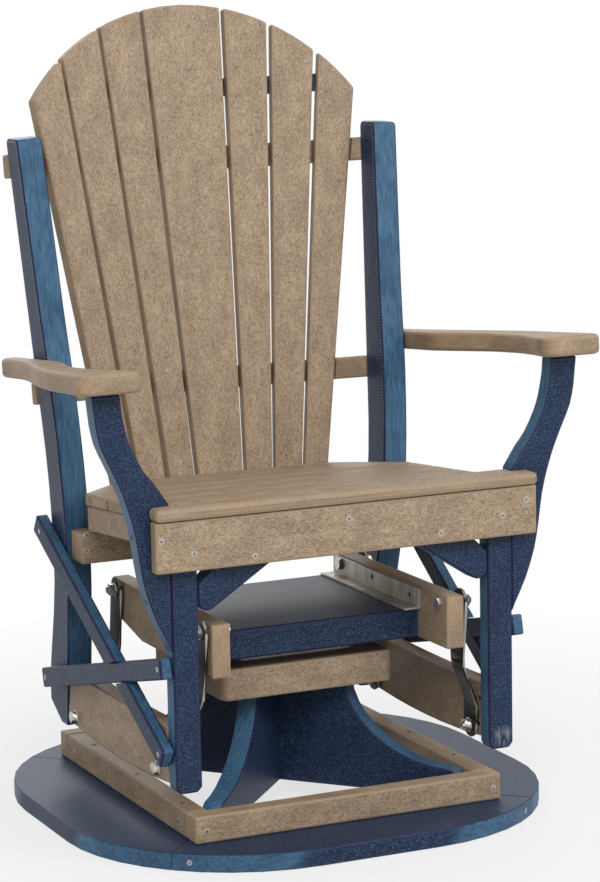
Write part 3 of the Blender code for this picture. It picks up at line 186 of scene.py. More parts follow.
def flecking(tree, place, tones, pull):
    """Fine and coarse flecks together, as one value that is about a half on plain ground."""
    fine_scale = tones["fleck_scale"]
    coarse_scale = fine_scale * COARSE_FLECK_SIZE
    fine = noise(tree, place, fine_scale, detail=2.0, stretch=pull)
    coarse = noise(tree, place, coarse_scale, detail=3.0, spot=(3.1, 1.7, 5.3), stretch=pull)
    fine_part = calculate(tree, "MULTIPLY", fine, FINE_FLECK_SHARE)
    coarse_part = calculate(tree, "MULTIPLY", coarse, 1 - FINE_FLECK_SHARE)
    return calculate(tree, "ADD", fine_part, coarse_part)


def moulded_skin(tree, place, flecks, tones, pull):
    """The colour of the broad faces: flecks on a ground that is a little darker here and paler there."""
    pale = calculate(tree, "MULTIPLY", step_between(tree, flecks, *PALE_FLECKS), tones["pale_reach"])
    dark = calculate(tree, "MULTIPLY", step_between(tree, flecks, *DARK_FLECKS), tones["dark_reach"])
    skin = blend_colours(tree, pale, tones["skin"], tones["pale_fleck"])
    skin = blend_colours(tree, dark, skin, tones["dark_fleck"])
    mottle = noise(tree, place, MOTTLE_SCALE, detail=4.0, spot=(1.3, 4.1, 2.2), stretch=pull)
    shades = blend_colours(tree, step_between(tree, mottle, *MOTTLE_RANGE), MOTTLE_DARK, MOTTLE_PALE)
    return blend_colours(tree, 1.0, skin, shades, "MULTIPLY")


# A saw or a router leaves a smoother surface: long fine streaks along the board, with cloudy patches.
# Round a corner that was eased, the cutter also leaves a row of small marks, a few millimetres apart.
STREAK_SCALE = 260
STREAK_PULL = 0.035
STREAK_RANGE = (0.38, 0.66)
PATCH_SCALE = 14
PATCH_RANGE = (0.35, 0.68)
PATCH_DARK, PATCH_PALE = (0.82, 0.82, 0.82), (1.20, 1.18, 1.14)
EASED_PITCH = 0.0045
MARK_RANGE = (0.2, 0.9)


# The sawn sides' colour is partly painted light: its pale tones also stand for light falling on those sides.
def sawn_core_and_painted_light(tree, place, tones, grain):
    """The colour of the sawn and routed edges, made paler partly as painted light on them."""
    streak_pull = [STREAK_PULL if axis == grain else 1.0 for axis in "XYZ"]
    streaks = noise(tree, place, STREAK_SCALE, detail=4.0, spot=(0.7, 2.9, 1.1), stretch=streak_pull)
    streaky = step_between(tree, streaks, *STREAK_RANGE)
    core_and_painted_light = blend_colours(tree, streaky, tones["core_and_painted_light"], tones["core_streak"])
    patches = noise(tree, place, PATCH_SCALE, detail=2.0, spot=(5.2, 0.6, 3.9))
    worn = blend_colours(tree, step_between(tree, patches, *PATCH_RANGE), PATCH_DARK, PATCH_PALE)
    return blend_colours(tree, 1.0, core_and_painted_light, worn, "MULTIPLY")


def router_marks(tree, place, grain):
    """A wave along the board, with one top for each mark of the cutter."""
    along = add_node(tree, "ShaderNodeSeparateXYZ", inputs={"Vector": place}).outputs[grain]
    return calculate(tree, "SINE", calculate(tree, "MULTIPLY", along, math.tau / EASED_PITCH))


# On the navy boards each corner of a face shows as a thin dark line. On the rear posts the cutter's marks
# are deep, and they show as a row of pale dots in that line.
ARRIS_REACH = 0.0060
ARRIS_SAMPLES = 6
ARRIS_BEND = (0.998, 0.96)
ARRIS_STRENGTH = 0.9
DOT_RANGE = (-0.2, 0.5)
DOT_TONE = (0.26, 0.29, 0.38)
FAINT_MARKS, DEEP_MARKS = 0.2, 0.9


def line_at_corners(tree, surface, on_face, marks, tones, chatter):
    """The surface's colour with a line along the corners, found by how far a rounded corner would bend."""
    reach = {"Radius": ARRIS_REACH * (1 + chatter)}
    rounded = add_node(tree, "ShaderNodeBevel", {"samples": ARRIS_SAMPLES}, reach).outputs[0]
    flat = add_node(tree, "ShaderNodeNewGeometry").outputs["Normal"]
    bend = add_node(tree, "ShaderNodeVectorMath", {"operation": "DOT_PRODUCT"}, {0: rounded, 1: flat})
    near_corner = step_between(tree, bend.outputs["Value"], *ARRIS_BEND)
    near_corner = calculate(tree, "MULTIPLY", near_corner, ARRIS_STRENGTH)
    dots = calculate(tree, "MULTIPLY", step_between(tree, marks, *DOT_RANGE), chatter)
    line = blend_colours(tree, dots, tones["eased"], DOT_TONE)
    return blend_colours(tree, calculate(tree, "MULTIPLY", near_corner, on_face), surface, line)


# The rails of the linkage carry their bolts, and so one look has to cover both: what lies further from or
# nearer to the chair's middle than the board itself is zinc-plated steel.
BOLT_STEEL = (0.50, 0.48, 0.44)
BOLT_SMOOTHNESS = 0.15
BOLT_SEAM = 0.0003


def past_the_board(tree, place, near_side, far_side):
    """1 on the bolts and 0 on the board; the sides are the board's distances from the middle."""
    across = add_node(tree, "ShaderNodeSeparateXYZ", inputs={"Vector": place}).outputs["X"]
    across = calculate(tree, "ABSOLUTE", across)
    inside = calculate(tree, "LESS_THAN", across, near_side - BOLT_SEAM)
    return calculate(tree, "MAXIMUM", inside, calculate(tree, "GREATER_THAN", across, far_side + BOLT_SEAM))


# One board's look is put together from these. How squarely a surface looks along the board's thickness
# tells the sawn edges from the eased corners and the moulded faces.
CORNER_STARTS = (0.22, 0.30)
FACE_STARTS = (0.93, 0.97)
MOULDED_SIDE = (0.990, 0.998)
ROUGHNESS_SPREAD = 0.2
LUMBER_SPECULAR = 0.22
LUMBER_GRIT = {"Strength": 0.5, "Distance": 0.0005}
lumber_looks = {}


def lumber(colour, face, grain, bolted=None, moulded=None, chatter=FAINT_MARKS):
    """A board's look: face is the way its broad sides point and grain the way it was extruded.

    bolted gives the near and far side of a board that carries bolts: what lies past them is steel.
    moulded is a second way in which sides point that still have the skin of the mould.
    chatter says how strongly the router's marks show as a row of dots beside navy corners.
    """
    face = AXES[face] if isinstance(face, str) else face
    key = (colour, tuple(face), grain, bolted, moulded, chatter)
    if key in lumber_looks:
        return lumber_looks[key]
    tones = LUMBER[colour]
    look, tree, shader = new_material(f"{colour}_lumber_{len(lumber_looks) + 1}")
    coordinates = add_node(tree, "ShaderNodeTexCoord")
    place, normal = coordinates.outputs["Object"], coordinates.outputs["Normal"]
    pull = [tones["grain_pull"] if axis == grain else 1.0 for axis in "XYZ"]

    flecks = flecking(tree, place, tones, pull)
    skin = moulded_skin(tree, place, flecks, tones, pull)
    # The sawn sides take the core colour, which is made paler partly as painted light.
    core_and_painted_light = sawn_core_and_painted_light(tree, place, tones, grain)
    marks = router_marks(tree, place, grain)
    eased = blend_colours(tree, step_between(tree, marks, *MARK_RANGE), tones["eased"], skin)

    facing = faces_along(tree, normal, face)
    past_edge = step_between(tree, facing, *CORNER_STARTS)
    on_face = step_between(tree, facing, *FACE_STARTS)
    if moulded:
        on_side = step_between(tree, faces_along(tree, normal, AXES[moulded]), *MOULDED_SIDE)
        on_face = calculate(tree, "MAXIMUM", on_face, on_side)
    surface = blend_colours(tree, past_edge, core_and_painted_light, eased)
    surface = blend_colours(tree, on_face, surface, skin)
    if colour == "navy":
        surface = line_at_corners(tree, surface, on_face, marks, tones, chatter)
    least_rough = tones["roughness"] - ROUGHNESS_SPREAD / 2
    rough = scale_and_shift(tree, flecks, ROUGHNESS_SPREAD, least_rough)
    if bolted:
        metal = past_the_board(tree, place, *bolted)
        surface = blend_colours(tree, metal, surface, BOLT_STEEL)
        rough = calculate(tree, "SUBTRACT", rough, calculate(tree, "MULTIPLY", metal, BOLT_SMOOTHNESS))
        tree.links.new(metal, shader.inputs["Metallic"])

    tree.links.new(surface, shader.inputs["Base Color"])
    tree.links.new(rough, shader.inputs["Roughness"])
    shader.inputs["Specular IOR Level"].default_value = LUMBER_SPECULAR
    grit = add_node(tree, "ShaderNodeBump", inputs={**LUMBER_GRIT, "Height": flecks})
    tree.links.new(grit.outputs[0], shader.inputs["Normal"])
    lumber_looks[key] = look
    return look


def dress(names, look):
    for name in names:
        surface = nodes[name]
        surface.data.materials.clear()
        surface.data.materials.append(look)


# The base is a ring of four mitred navy boards flat on the ground, with a frame of tan rails screwed on it.
# Two navy panels cross on the frame's diagonals, half-lapped, and carry a thick tan block.
dress(["base_ring_front", "base_ring_rear"], lumber("navy", "Z", "X", moulded="Y"))
dress(["base_ring_left", "base_ring_right"], lumber("navy", "Z", "Y", moulded="X"))
dress(["base_rail_front", "base_rail_rear"], lumber("tan", "Y", "X"))
dress(["base_rail_left", "base_rail_right"], lumber("tan", "X", "Y"))
panel_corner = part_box("pedestal_panel_a")[1]
for name, side in (("pedestal_panel_a", 1), ("pedestal_panel_b", -1)):
    panel_face = Vector((-side * panel_corner.y, panel_corner.x, 0)).normalized()
    dress([name], lumber("navy", panel_face, "Z"))
dress(["swivel_block"], lumber("tan", "Z", "X", moulded="Y"))


# The platform is a thick navy board on the bearing, between two tan rails that the links hang from.
# The bolts' heads, washers and nuts are zinc-plated steel on both sides of each rail.
HANGER_RAIL_SIDES = (0.1637, 0.1912)
dress(["platform_board"], lumber("navy", "Z", "X", moulded="Y"))
dress(["hanger_rail_left", "hanger_rail_right"], lumber("tan", "X", "Y", HANGER_RAIL_SIDES))


# The chair's body is navy: square front legs, shaped rear posts, crossed bars, corner braces and
# the sawn brackets under the arms. The tan lower rails between the legs carry the links' lower bolts.
LOWER_RAIL_SIDES = (0.2283, 0.2560)
dress(["lower_rail_left", "lower_rail_right"], lumber("tan", "X", "Y", LOWER_RAIL_SIDES))
dress(["front_leg_left", "front_leg_right"], lumber("navy", "Y", "Z"))
dress(["rear_post_left", "rear_post_right"], lumber("navy", "X", "Z", chatter=DEEP_MARKS))
dress(["arm_support_left", "arm_support_right"], lumber("navy", "Y", "Z"))
dress(["corner_brace_left", "corner_brace_right"], lumber("navy", "Y", "X"))
for side in ("left", "right"):
    dress([f"brace_bar_low_{side}", f"brace_bar_high_{side}"], lumber("navy", "X", "Y"))


# The foot of the right front leg is scuffed, where something hard has rubbed it: a small pale, cloudy
# patch, with scratches that run mostly up and down.
SCUFF_MIDDLE = (0.239, -0.2555, 0.112)
SCUFF_REACH = 0.019
SCUFF_HEART = 0.3 * SCUFF_REACH
SCUFF_TONE = (0.33, 0.36, 0.40)
SCUFF_STRENGTH = 0.7
SCRATCH_SCALE = 170
SCRATCH_STRETCH = (1, 1, 0.35)
SCRATCH_RANGE = (0.44, 0.62)

scuffed = lumber("navy", "Y", "Z").copy()
scuffed.name = "navy_lumber_scuffed"
tree = scuffed.node_tree
leg_colour = tree.nodes["Principled BSDF"].inputs["Base Color"]
clean_colour = leg_colour.links[0].from_socket
place = add_node(tree, "ShaderNodeTexCoord").outputs["Object"]
away = add_node(tree, "ShaderNodeVectorMath", {"operation": "DISTANCE"}, {0: place, 1: SCUFF_MIDDLE})
near = step_between(tree, away.outputs["Value"], SCUFF_REACH, SCUFF_HEART)
scratches = noise(tree, place, SCRATCH_SCALE, detail=5.0, spot=(0.3, 0.9, 0.2), stretch=SCRATCH_STRETCH)
rubbed = calculate(tree, "MULTIPLY", near, step_between(tree, scratches, *SCRATCH_RANGE))
rubbed = calculate(tree, "MULTIPLY", rubbed, SCUFF_STRENGTH)
tree.links.new(blend_colours(tree, rubbed, clean_colour, SCUFF_TONE), leg_colour)
dress(["front_leg_right"], scuffed)


# The seat is of tan slats across two supports, with a nosed front slat over a deep apron. The slats lie
# flat, with their flecked faces up and sawn edges between them.
SEAT_SLATS = (1, 2, 3, 4, "rear")
dress(["apron", "cross_rail"], lumber("tan", "Y", "X"))
dress(["front_slat", *(f"seat_slat_{which}" for which in SEAT_SLATS)], lumber("tan", "Z", "X"))
dress(["seat_support_left", "seat_support_right"], lumber("tan", "X", "Y"))


# The arms are broad tan boards sawn to a curve, laid flat on the brackets and fixed to the rear posts.
# Their upper faces are moulded skin, and the whole edge round them is sawn and eased.
dress(["arm_left", "arm_right"], lumber("tan", "Z", "Y"))


# The fan of seven tan slats stands in the hollow of bowed rails that run behind it from post to post.
# The uppermost rail, short and navy, holds only the slats' tops together.
BACK_SLATS = range(1, 8)
dress([f"back_slat_{number}" for number in BACK_SLATS], lumber("tan", "Y", "Z"))
dress(["back_rail_foot", "back_rail_middle", "back_rail_upper"], lumber("tan", "Z", "X"))
dress(["back_rail_top"], lumber("navy", "Z", "X"))


# The links are cut from flat steel bar, bent cold and coated dark, with brighter sheared edges. The
# platform's angles are of paler bar, and the two plates of the swivel bearing are pressed from
# zinc-plated sheet.
SHEARED_RANGE = (0.60, 0.75)
STAIN_SCALE = 55
STAIN_STRETCH = (1, 1, 0.4)
STAIN_RANGE = (0.35, 0.70)
STAIN_GAIN = 1.6
BRUSHED_SCALE = 600
BRUSHED_STRETCH = (1, 1, 0.05)
STEEL_ROUGH_SPREAD = 0.25
STEEL_ROUGH_DROP = 0.12
STEEL_GRIT = {"Strength": 0.2, "Distance": 0.0002}


def steel(name, face_tone, edge_tone, axis, edges_face_axis, roughness, metallic):
    """Flat steel: its sheared edges either face along the axis or are all that doesn't face along it."""
    look, tree, shader = new_material(name)
    coordinates = add_node(tree, "ShaderNodeTexCoord")
    place = coordinates.outputs["Object"]
    facing = faces_along(tree, coordinates.outputs["Normal"], AXES[axis])
    on_edge = step_between(tree, facing, *SHEARED_RANGE)
    if not edges_face_axis:
        on_edge = calculate(tree, "SUBTRACT", 1.0, on_edge)
    stains = noise(tree, place, STAIN_SCALE, detail=4.0, spot=(2.0, 0.4, 1.2), stretch=STAIN_STRETCH)
    stained_tone = [tone * STAIN_GAIN for tone in face_tone]
    faces = blend_colours(tree, step_between(tree, stains, *STAIN_RANGE), face_tone, stained_tone)
    brushed = noise(tree, place, BRUSHED_SCALE, detail=2.0, stretch=BRUSHED_STRETCH)
    rough = scale_and_shift(tree, brushed, STEEL_ROUGH_SPREAD, roughness - STEEL_ROUGH_DROP)
    tree.links.new(blend_colours(tree, on_edge, faces, edge_tone), shader.inputs["Base Color"])
    tree.links.new(rough, shader.inputs["Roughness"])
    shader.inputs["Metallic"].default_value = metallic
    grit = add_node(tree, "ShaderNodeBump", inputs={**STEEL_GRIT, "Height": stains})
    tree.links.new(grit.outputs[0], shader.inputs["Normal"])
    return look


link_steel = steel(
    "link_steel", (0.020, 0.018, 0.018), (0.45, 0.43, 0.40),
    axis="X", edges_face_axis=False, roughness=0.46, metallic=0.5,
)
dress([f"link_{end}_{side}" for end in ("front", "rear") for side in ("left", "right")], link_steel)
angle_steel = steel(
    "angle_steel", (0.36, 0.34, 0.30), (0.55, 0.53, 0.49),
    axis="Y", edges_face_axis=True, roughness=0.50, metallic=0.75,
)
dress(["hanger_angle_left", "hanger_angle_right"], angle_steel)
zinc_plate = steel(
    "zinc_plate", (0.36, 0.35, 0.33), (0.5, 0.49, 0.46),
    axis="X", edges_face_axis=True, roughness=0.42, metallic=0.9,
)
dress(["bearing_plate_lower", "bearing_plate_upper"], zinc_plate)


# Screws hold the boards together: zinc-plated heads, sunk flush in a ring of pale, torn plastic. The small,
# shallow recess in each head is painted near-black, as painted shade. One is modelled, and it is copied to
# each place where a board's surface is found.
HEAD_RADIUS = 0.0036
RIM_RADIUS = 0.0047
HEAD_RISE = 0.0005
HEAD_LIFT = HEAD_RISE / 4
CROWN_LIFT = HEAD_RISE / 3
CHAMFER_WIDTH = HEAD_RADIUS * 0.22
CROWN_WIDTH = HEAD_RADIUS * 0.42
RECESS_DEPTH = 0.0004
SCREW_SIDES = 20


def speckled(name, tone, other_tone, scale, detail, edges, roughness, metallic=0.0):
    """The look of something small: speckles that run from one tone to the other."""
    look, tree, shader = new_material(name)
    place = add_node(tree, "ShaderNodeTexCoord").outputs["Object"]
    speckles = noise(tree, place, scale, detail)
    colour = blend_colours(tree, step_between(tree, speckles, *edges), tone, other_tone)
    tree.links.new(colour, shader.inputs["Base Color"])
    shader.inputs["Roughness"].default_value = roughness
    shader.inputs["Metallic"].default_value = metallic
    return look


screw_zinc = speckled(
    "screw_zinc", (0.46, 0.46, 0.45), (0.30, 0.30, 0.31),
    scale=900, detail=3.0, edges=(0.35, 0.70), roughness=0.38, metallic=0.9,
)
# Painted shade: this near-black look for screw recesses and hole mouths stands in for the shade inside them.
painted_hole_shade = speckled(
    "painted_hole_shade", (0.012, 0.012, 0.013), (0.035, 0.033, 0.032),
    scale=700, detail=2.0, edges=(0.30, 0.70), roughness=0.7,
)
torn = {"scale": 1400, "detail": 3.0, "edges": (0.40, 0.62), "roughness": 0.75}
tan_burr = speckled("tan_burr", (0.52, 0.44, 0.35), (0.33, 0.25, 0.17), **torn)
navy_burr = speckled("navy_burr", (0.17, 0.22, 0.30), (0.03, 0.06, 0.12), **torn)


def select_only(piece):
    bpy.ops.object.select_all(action="DESELECT")
    piece.select_set(True)
    bpy.context.view_layer.objects.active = piece


def disc_being_edited(name, radius, looks):
    """A thin round disc, left in edit mode with only its top selected, ready to be inset."""
    bpy.ops.object.select_all(action="DESELECT")
    bpy.ops.mesh.primitive_cylinder_add(
        vertices=SCREW_SIDES, radius=radius, depth=HEAD_RISE, location=(0, 0, 0)
    )
    disc = bpy.context.object
    disc.name = name
    for look in looks:
        disc.data.materials.append(look)
    bpy.ops.object.mode_set(mode="EDIT")
    bpy.ops.mesh.select_mode(type="FACE")
    bpy.ops.mesh.select_all(action="DESELECT")
    bpy.ops.object.mode_set(mode="OBJECT")
    top_face = max(disc.data.polygons, key=lambda face: face.center.z)
    for face in disc.data.polygons:
        face.select = face.index == top_face.index
    bpy.ops.object.mode_set(mode="EDIT")
    return disc


def give_selected(piece, look_number):
    """The selected faces take one of the piece's looks."""
    piece.active_material_index = look_number
    bpy.ops.object.material_slot_assign()


screw = disc_being_edited("screw_pattern", RIM_RADIUS, (tan_burr, screw_zinc, painted_hole_shade))
bpy.ops.mesh.inset(thickness=RIM_RADIUS - HEAD_RADIUS)
give_selected(screw, 1)
bpy.ops.transform.translate(value=(0, 0, HEAD_LIFT))
bpy.ops.mesh.inset(thickness=CHAMFER_WIDTH)
bpy.ops.transform.translate(value=(0, 0, CROWN_LIFT))
bpy.ops.mesh.inset(thickness=CROWN_WIDTH)
give_selected(screw, 2)
bpy.ops.mesh.extrude_region_move(TRANSFORM_OT_translate={"value": (0, 0, -RECESS_DEPTH)})
bpy.ops.object.mode_set(mode="OBJECT")


def copies_on(name, body, pattern, rim, places):
    """Copies of a small piece, each laid where a line from a start, going one way, first meets its node."""
    made = []
    for node, start, way in places:
        start, way = Vector(start), Vector(way)
        found, spot, normal, _ = nodes[node].ray_cast(start, way.normalized())
        if not found:
            raise ValueError(f"{name}: no surface of {node} from {tuple(start)}")
        copy = pattern.copy()
        copy.data = pattern.data.copy()
        copy.data.transform(Matrix.Translation(spot) @ normal.to_track_quat("Z", "Y").to_matrix().to_4x4())
        copy.data.materials[0] = rim
        bpy.context.scene.collection.objects.link(copy)
        made.append(copy)
    select_only(made[0])
    for copy in made:
        copy.select_set(True)
    bpy.ops.object.join()
    made[0].name = name
    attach(made[0], body)


# Seven screws hold the apron from the front, at uneven heights, to the boards that meet it from behind.
# The cross rail under the seat has two at each end, one above the other. Each line that looks for a
# surface starts OUTSIDE, this many metres from the middle or the floor and clear of its piece.
OUTSIDE = 0.6
FROM_FRONT, FROM_BEHIND, FROM_ABOVE = (0, 1, 0), (0, -1, 0), (0, 0, -1)
APRON_SCREWS = (
    (-0.2770, 0.4478), (-0.2306, 0.4270), (-0.1427, 0.4148), (-0.0040, 0.4519),
    (0.1348, 0.4184), (0.2305, 0.4334), (0.2675, 0.4525),
)
CROSS_RAIL_ENDS = (-0.2555, 0.2555)
CROSS_RAIL_HEIGHTS = (0.3968, 0.3742)
seat_places = [("apron", (x, -OUTSIDE, z), FROM_FRONT) for x, z in APRON_SCREWS]
for x in CROSS_RAIL_ENDS:
    seat_places += [("cross_rail", (x, -OUTSIDE, z), FROM_FRONT) for z in CROSS_RAIL_HEIGHTS]
copies_on("seat_screws", "chair", screw, tan_burr, seat_places)


# Each crossed bar is screwed from outside, near its two ends. The right high bar is shorter than the left
# one, so its front screw sits higher and further back.
BRACE_SCREWS = (
    ("brace_bar_low", (0.186, 0.1661)),
    ("brace_bar_low", (-0.243, 0.2686)),
    ("brace_bar_high", (0.160, 0.3885)),
)
HIGH_FRONT_SCREWS = ((-1, "left", (-0.238, 0.1510)), (1, "right", (-0.170, 0.1915)))
SIDES = ((-1, "left"), (1, "right"))
brace_places = []
for side, where in SIDES:
    for bar, spot in BRACE_SCREWS:
        brace_places.append((f"{bar}_{where}", (side * OUTSIDE, *spot), (-side, 0, 0)))
for side, where, spot in HIGH_FRONT_SCREWS:
    brace_places.append((f"brace_bar_high_{where}", (side * OUTSIDE, *spot), (-side, 0, 0)))
copies_on("brace_screws", "chair", screw, navy_burr, brace_places)


# The back's rails are screwed from behind: one screw in each slat, and one in each rear post.
# The short navy rail has only the seven for the slats.
BACK_RAIL_SCREWS = (
    ("back_rail_upper", 0.902, (0, 0.08, 0.152, 0.205, 0.268)),
    ("back_rail_middle", 0.588, (0, 0.08, 0.152, 0.180, 0.268)),
)
TOP_RAIL_HEIGHT = 1.005
TOP_RAIL_SPREAD = (-0.215, -0.16, -0.09, 0, 0.09, 0.16, 0.215)
back_places = []
for rail, height, spread in BACK_RAIL_SCREWS:
    for x in spread:
        both_sides = (-x, x) if x else (x,)
        back_places += [(rail, (across, OUTSIDE, height), FROM_BEHIND) for across in both_sides]
copies_on("back_screws", "chair", screw, tan_burr, back_places)
top_places = [("back_rail_top", (x, OUTSIDE, TOP_RAIL_HEIGHT), FROM_BEHIND) for x in TOP_RAIL_SPREAD]
copies_on("top_rail_screws", "chair", screw, navy_burr, top_places)


# The base's rails are screwed together at the corners, from all four sides. The ring's front and rear
# boards have a screw at each end, half way up the edge.
RAIL_SCREW_HEIGHT, SIDE_RAIL_SCREW_HEIGHT = 0.042, 0.045
FRONT_RAIL_SCREWS, REAR_RAIL_SCREWS = (-0.2165, 0.2205), (-0.2185, 0.2185)
SIDE_RAIL_SCREWS = (-0.2042, 0.2026)
RING_MIDDLE = 0.0125
RING_AIM = (0.5, 0.57)
base_places = [("base_rail_front", (x, -OUTSIDE, RAIL_SCREW_HEIGHT), FROM_FRONT) for x in FRONT_RAIL_SCREWS]
base_places += [("base_rail_rear", (x, OUTSIDE, RAIL_SCREW_HEIGHT), FROM_BEHIND) for x in REAR_RAIL_SCREWS]
for side, where in SIDES:
    for y in SIDE_RAIL_SCREWS:
        start = (side * OUTSIDE, y, SIDE_RAIL_SCREW_HEIGHT)
        base_places.append((f"base_rail_{where}", start, (-side, 0, 0)))
copies_on("base_screws", "base", screw, tan_burr, base_places)
ring_places = []
for board, y in (("base_ring_front", -RING_AIM[1]), ("base_ring_rear", RING_AIM[1])):
    for x in (-RING_AIM[0], RING_AIM[0]):
        ring_places.append((board, (x, y, RING_MIDDLE), (-x, -y, 0)))
copies_on("ring_screws", "base", screw, navy_burr, ring_places)


# Each steel angle is screwed down to the platform through three holes in its flange.
# There is no torn plastic round these, so the rim is zinc too.
FLANGE_MIDDLE = 0.148
FLANGE_SCREWS = (0.0128, -0.1054, 0.098)
flange_places = []
for side, where in SIDES:
    for y in FLANGE_SCREWS:
        flange_places.append((f"hanger_angle_{where}", (side * FLANGE_MIDDLE, y, OUTSIDE), FROM_ABOVE))
copies_on("flange_screws", "platform", screw, screw_zinc, flange_places)
bpy.data.objects.remove(screw, do_unlink=True)


# Where a screw sits deep below the surface only the mouth of its drilled pocket shows, with a slightly
# raised, torn lip. The hole is a shallow disc painted near-black, as painted shade for the deep pocket.
# They are along the base rails' tops and the sawn edges of the brackets.
POCKET_RADIUS = 0.0040
LIP_WIDTH = POCKET_RADIUS * 0.3
POCKET_DEPTH = HEAD_RISE * 0.4
mouth = disc_being_edited("pocket_pattern", POCKET_RADIUS + LIP_WIDTH, (tan_burr, painted_hole_shade))
bpy.ops.mesh.inset(thickness=LIP_WIDTH)
give_selected(mouth, 1)
bpy.ops.mesh.extrude_region_move(TRANSFORM_OT_translate={"value": (0, 0, -POCKET_DEPTH)})
bpy.ops.object.mode_set(mode="OBJECT")

BASE_RAIL_POCKETS = {
    "base_rail_left": ((-0.2173, 0.1581), (-0.2205, -0.0211), (-0.2205, -0.1858)),
    "base_rail_right": ((0.2205, 0.0020), (0.2181, -0.1444), (0.2181, 0.1600)),
}
base_mouths = []
for rail, spots in BASE_RAIL_POCKETS.items():
    base_mouths += [(rail, (*spot, OUTSIDE), FROM_ABOVE) for spot in spots]
copies_on("base_rail_pockets", "base", mouth, tan_burr, base_mouths)


# The brackets are drilled through their sawn outer edges, two pockets each. The lower rails and the
# platform's angles have two holes each in the side that looks towards the middle.
BRACKET_MIDDLE = -0.2418
BRACKET_POCKET_HEIGHTS = (0.450, 0.361)
LOWER_RAIL_POCKETS = ((-0.2080, 0.1600), (-0.2050, 0.1225))
ANGLE_HOLES = ((-0.0054, 0.3050), (-0.1268, 0.3010))
bracket_mouths, rail_mouths, angle_mouths = [], [], []
for side, where in SIDES:
    inward, outward = (-side, 0, 0), (side, 0, 0)
    for height in BRACKET_POCKET_HEIGHTS:
        start = (side * OUTSIDE, BRACKET_MIDDLE, height)
        bracket_mouths.append((f"arm_support_{where}", start, inward))
    rail_mouths += [(f"lower_rail_{where}", (0, *spot), outward) for spot in LOWER_RAIL_POCKETS]
    angle_mouths += [(f"hanger_angle_{where}", (0, *spot), outward) for spot in ANGLE_HOLES]
copies_on("bracket_pockets", "chair", mouth, navy_burr, bracket_mouths)
copies_on("lower_rail_pockets", "chair", mouth, tan_burr, rail_mouths)
# The angles' holes are shallow discs painted near-black too, as painted shade for holes through the steel.
copies_on("angle_holes", "platform", mouth, angle_steel, angle_mouths)
bpy.data.objects.remove(mouth, do_unlink=True)


# Boards that were sawn to a curve, and the bent links, are shown as merged copies whose curves shade
# smoothly, so that the short straight steps of their outlines can't be seen. They come after the screws,
# which find their places on the nodes, because a node that is replaced is hidden.
MERGE_REACH = 0.00001
SMOOTH_UP_TO = math.radians(32)


def smooth_copy(name, body):
    copy = nodes[name].copy()
    copy.data = nodes[name].data.copy()
    copy.name = f"{name}_smooth"
    bpy.context.scene.collection.objects.link(copy)
    select_only(copy)
    bpy.ops.object.mode_set(mode="EDIT")
    bpy.ops.mesh.select_all(action="SELECT")
    bpy.ops.mesh.remove_doubles(threshold=MERGE_REACH)
    bpy.ops.object.mode_set(mode="OBJECT")
    bpy.ops.object.shade_smooth_by_angle(angle=SMOOTH_UP_TO)
    weigh = copy.modifiers.new("weigh", "WEIGHTED_NORMAL")
    weigh.keep_sharp = True
    bpy.ops.object.modifier_apply(modifier=weigh.name)
    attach(copy, body)
    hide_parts(name)


for side in ("left", "right"):
    smooth_copy(f"arm_{side}", "chair")
    smooth_copy(f"lower_rail_{side}", "chair")
    for part in ("arm_support", "rear_post", "corner_brace"):
        smooth_copy(f"{part}_{side}", "chair")
    for end in ("front", "rear"):
        smooth_copy(f"link_{end}_{side}", f"{end}_{side}_link")
for board in ("front", "rear", "left", "right"):
    smooth_copy(f"base_ring_{board}", "base")
for letter in "ab":
    smooth_copy(f"pedestal_panel_{letter}", "base")


# The floor is broad, pale and matt, and it keeps the chair's shadow. To the camera and in reflections it
# turns into plain white a little way from the chair, as the photograph's background does.
FLOOR_SIZE = 60
FLOOR_DROP = 0.0005
FLOOR_TONE = (0.62, 0.62, 0.62, 1)
FLOOR_ROUGHNESS = 0.9
FLOOR_SPECULAR = 0.1
WHITE = (1, 1, 1, 1)
FADE_STARTS, FADE_ENDS = 0.45, 1.30
WHITE_NEAR, WHITE_GAIN = 0.70, 0.30

bpy.ops.object.select_all(action="DESELECT")
bpy.ops.mesh.primitive_plane_add(size=FLOOR_SIZE, location=(0, 0, -FLOOR_DROP))
floor = bpy.context.object
floor.name = "floor"
look, tree, shader = new_material("pale_floor")
shader.inputs["Base Color"].default_value = FLOOR_TONE
shader.inputs["Roughness"].default_value = FLOOR_ROUGHNESS
shader.inputs["Specular IOR Level"].default_value = FLOOR_SPECULAR


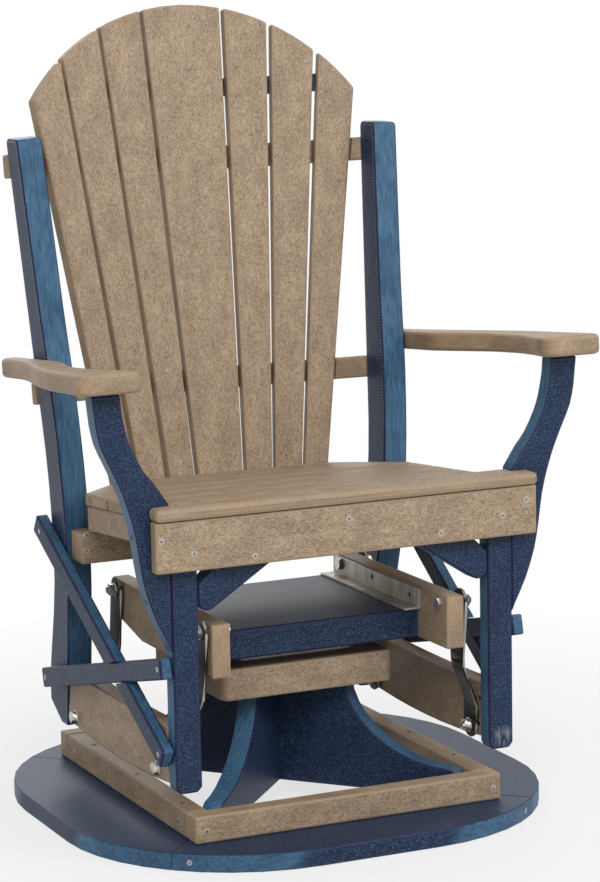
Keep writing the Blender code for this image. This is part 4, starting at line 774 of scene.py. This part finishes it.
def seen_directly(tree):
    """1 for what the camera sees, straight, reflected or through something clear, and 0 for light."""
    rays = add_node(tree, "ShaderNodeLightPath")
    seen = calculate(tree, "MAXIMUM", rays.outputs["Is Camera Ray"], rays.outputs["Is Glossy Ray"])
    return calculate(tree, "MAXIMUM", seen, rays.outputs["Is Transmission Ray"])


place = add_node(tree, "ShaderNodeTexCoord").outputs["Object"]
distance = add_node(tree, "ShaderNodeVectorMath", {"operation": "LENGTH"}, {0: place}).outputs["Value"]
away = step_between(tree, distance, FADE_STARTS, FADE_ENDS)
fade = scale_and_shift(tree, away, WHITE_GAIN, WHITE_NEAR)
share = calculate(tree, "MULTIPLY", seen_directly(tree), fade)
white = add_node(tree, "ShaderNodeEmission", inputs={"Color": WHITE, "Strength": 1.0})
both = add_node(tree, "ShaderNodeMixShader", inputs={0: share, 1: shader.outputs[0], 2: white.outputs[0]})
tree.links.new(both.outputs[0], tree.nodes["Material Output"].inputs["Surface"])
floor.data.materials.append(look)


# The surround is white to the camera and in reflections, and weaker as light. One large soft lamp stands
# to the front and left, with weaker ones to the front and right and behind. All face the chair's middle.
SURROUND_LIGHT = 0.55
LAMP_AIM = Vector((0, 0, 0.55))

world = bpy.data.worlds.new("surround")
bpy.context.scene.world = world
world.use_nodes = True
tree = world.node_tree
strength = scale_and_shift(tree, seen_directly(tree), 1 - SURROUND_LIGHT, SURROUND_LIGHT)
tree.nodes["Background"].inputs["Color"].default_value = WHITE
tree.links.new(strength, tree.nodes["Background"].inputs["Strength"])


def soft_lamp(name, place, size, power):
    lamp = bpy.data.lights.new(name, "AREA")
    lamp.size = size
    lamp.energy = power
    holder = bpy.data.objects.new(name, lamp)
    bpy.context.scene.collection.objects.link(holder)
    holder.location = place
    holder.rotation_euler = (LAMP_AIM - Vector(place)).to_track_quat("-Z", "Y").to_euler()


soft_lamp("front_lamp", (-1.6, -3.6, 3.6), size=2.2, power=125)
soft_lamp("side_lamp", (2.6, -3.0, 2.8), size=1.8, power=62)
soft_lamp("rear_lamp", (0.8, 4.2, 3.0), size=2.4, power=55)

scene = bpy.context.scene
scene.view_settings.view_transform = "Standard"
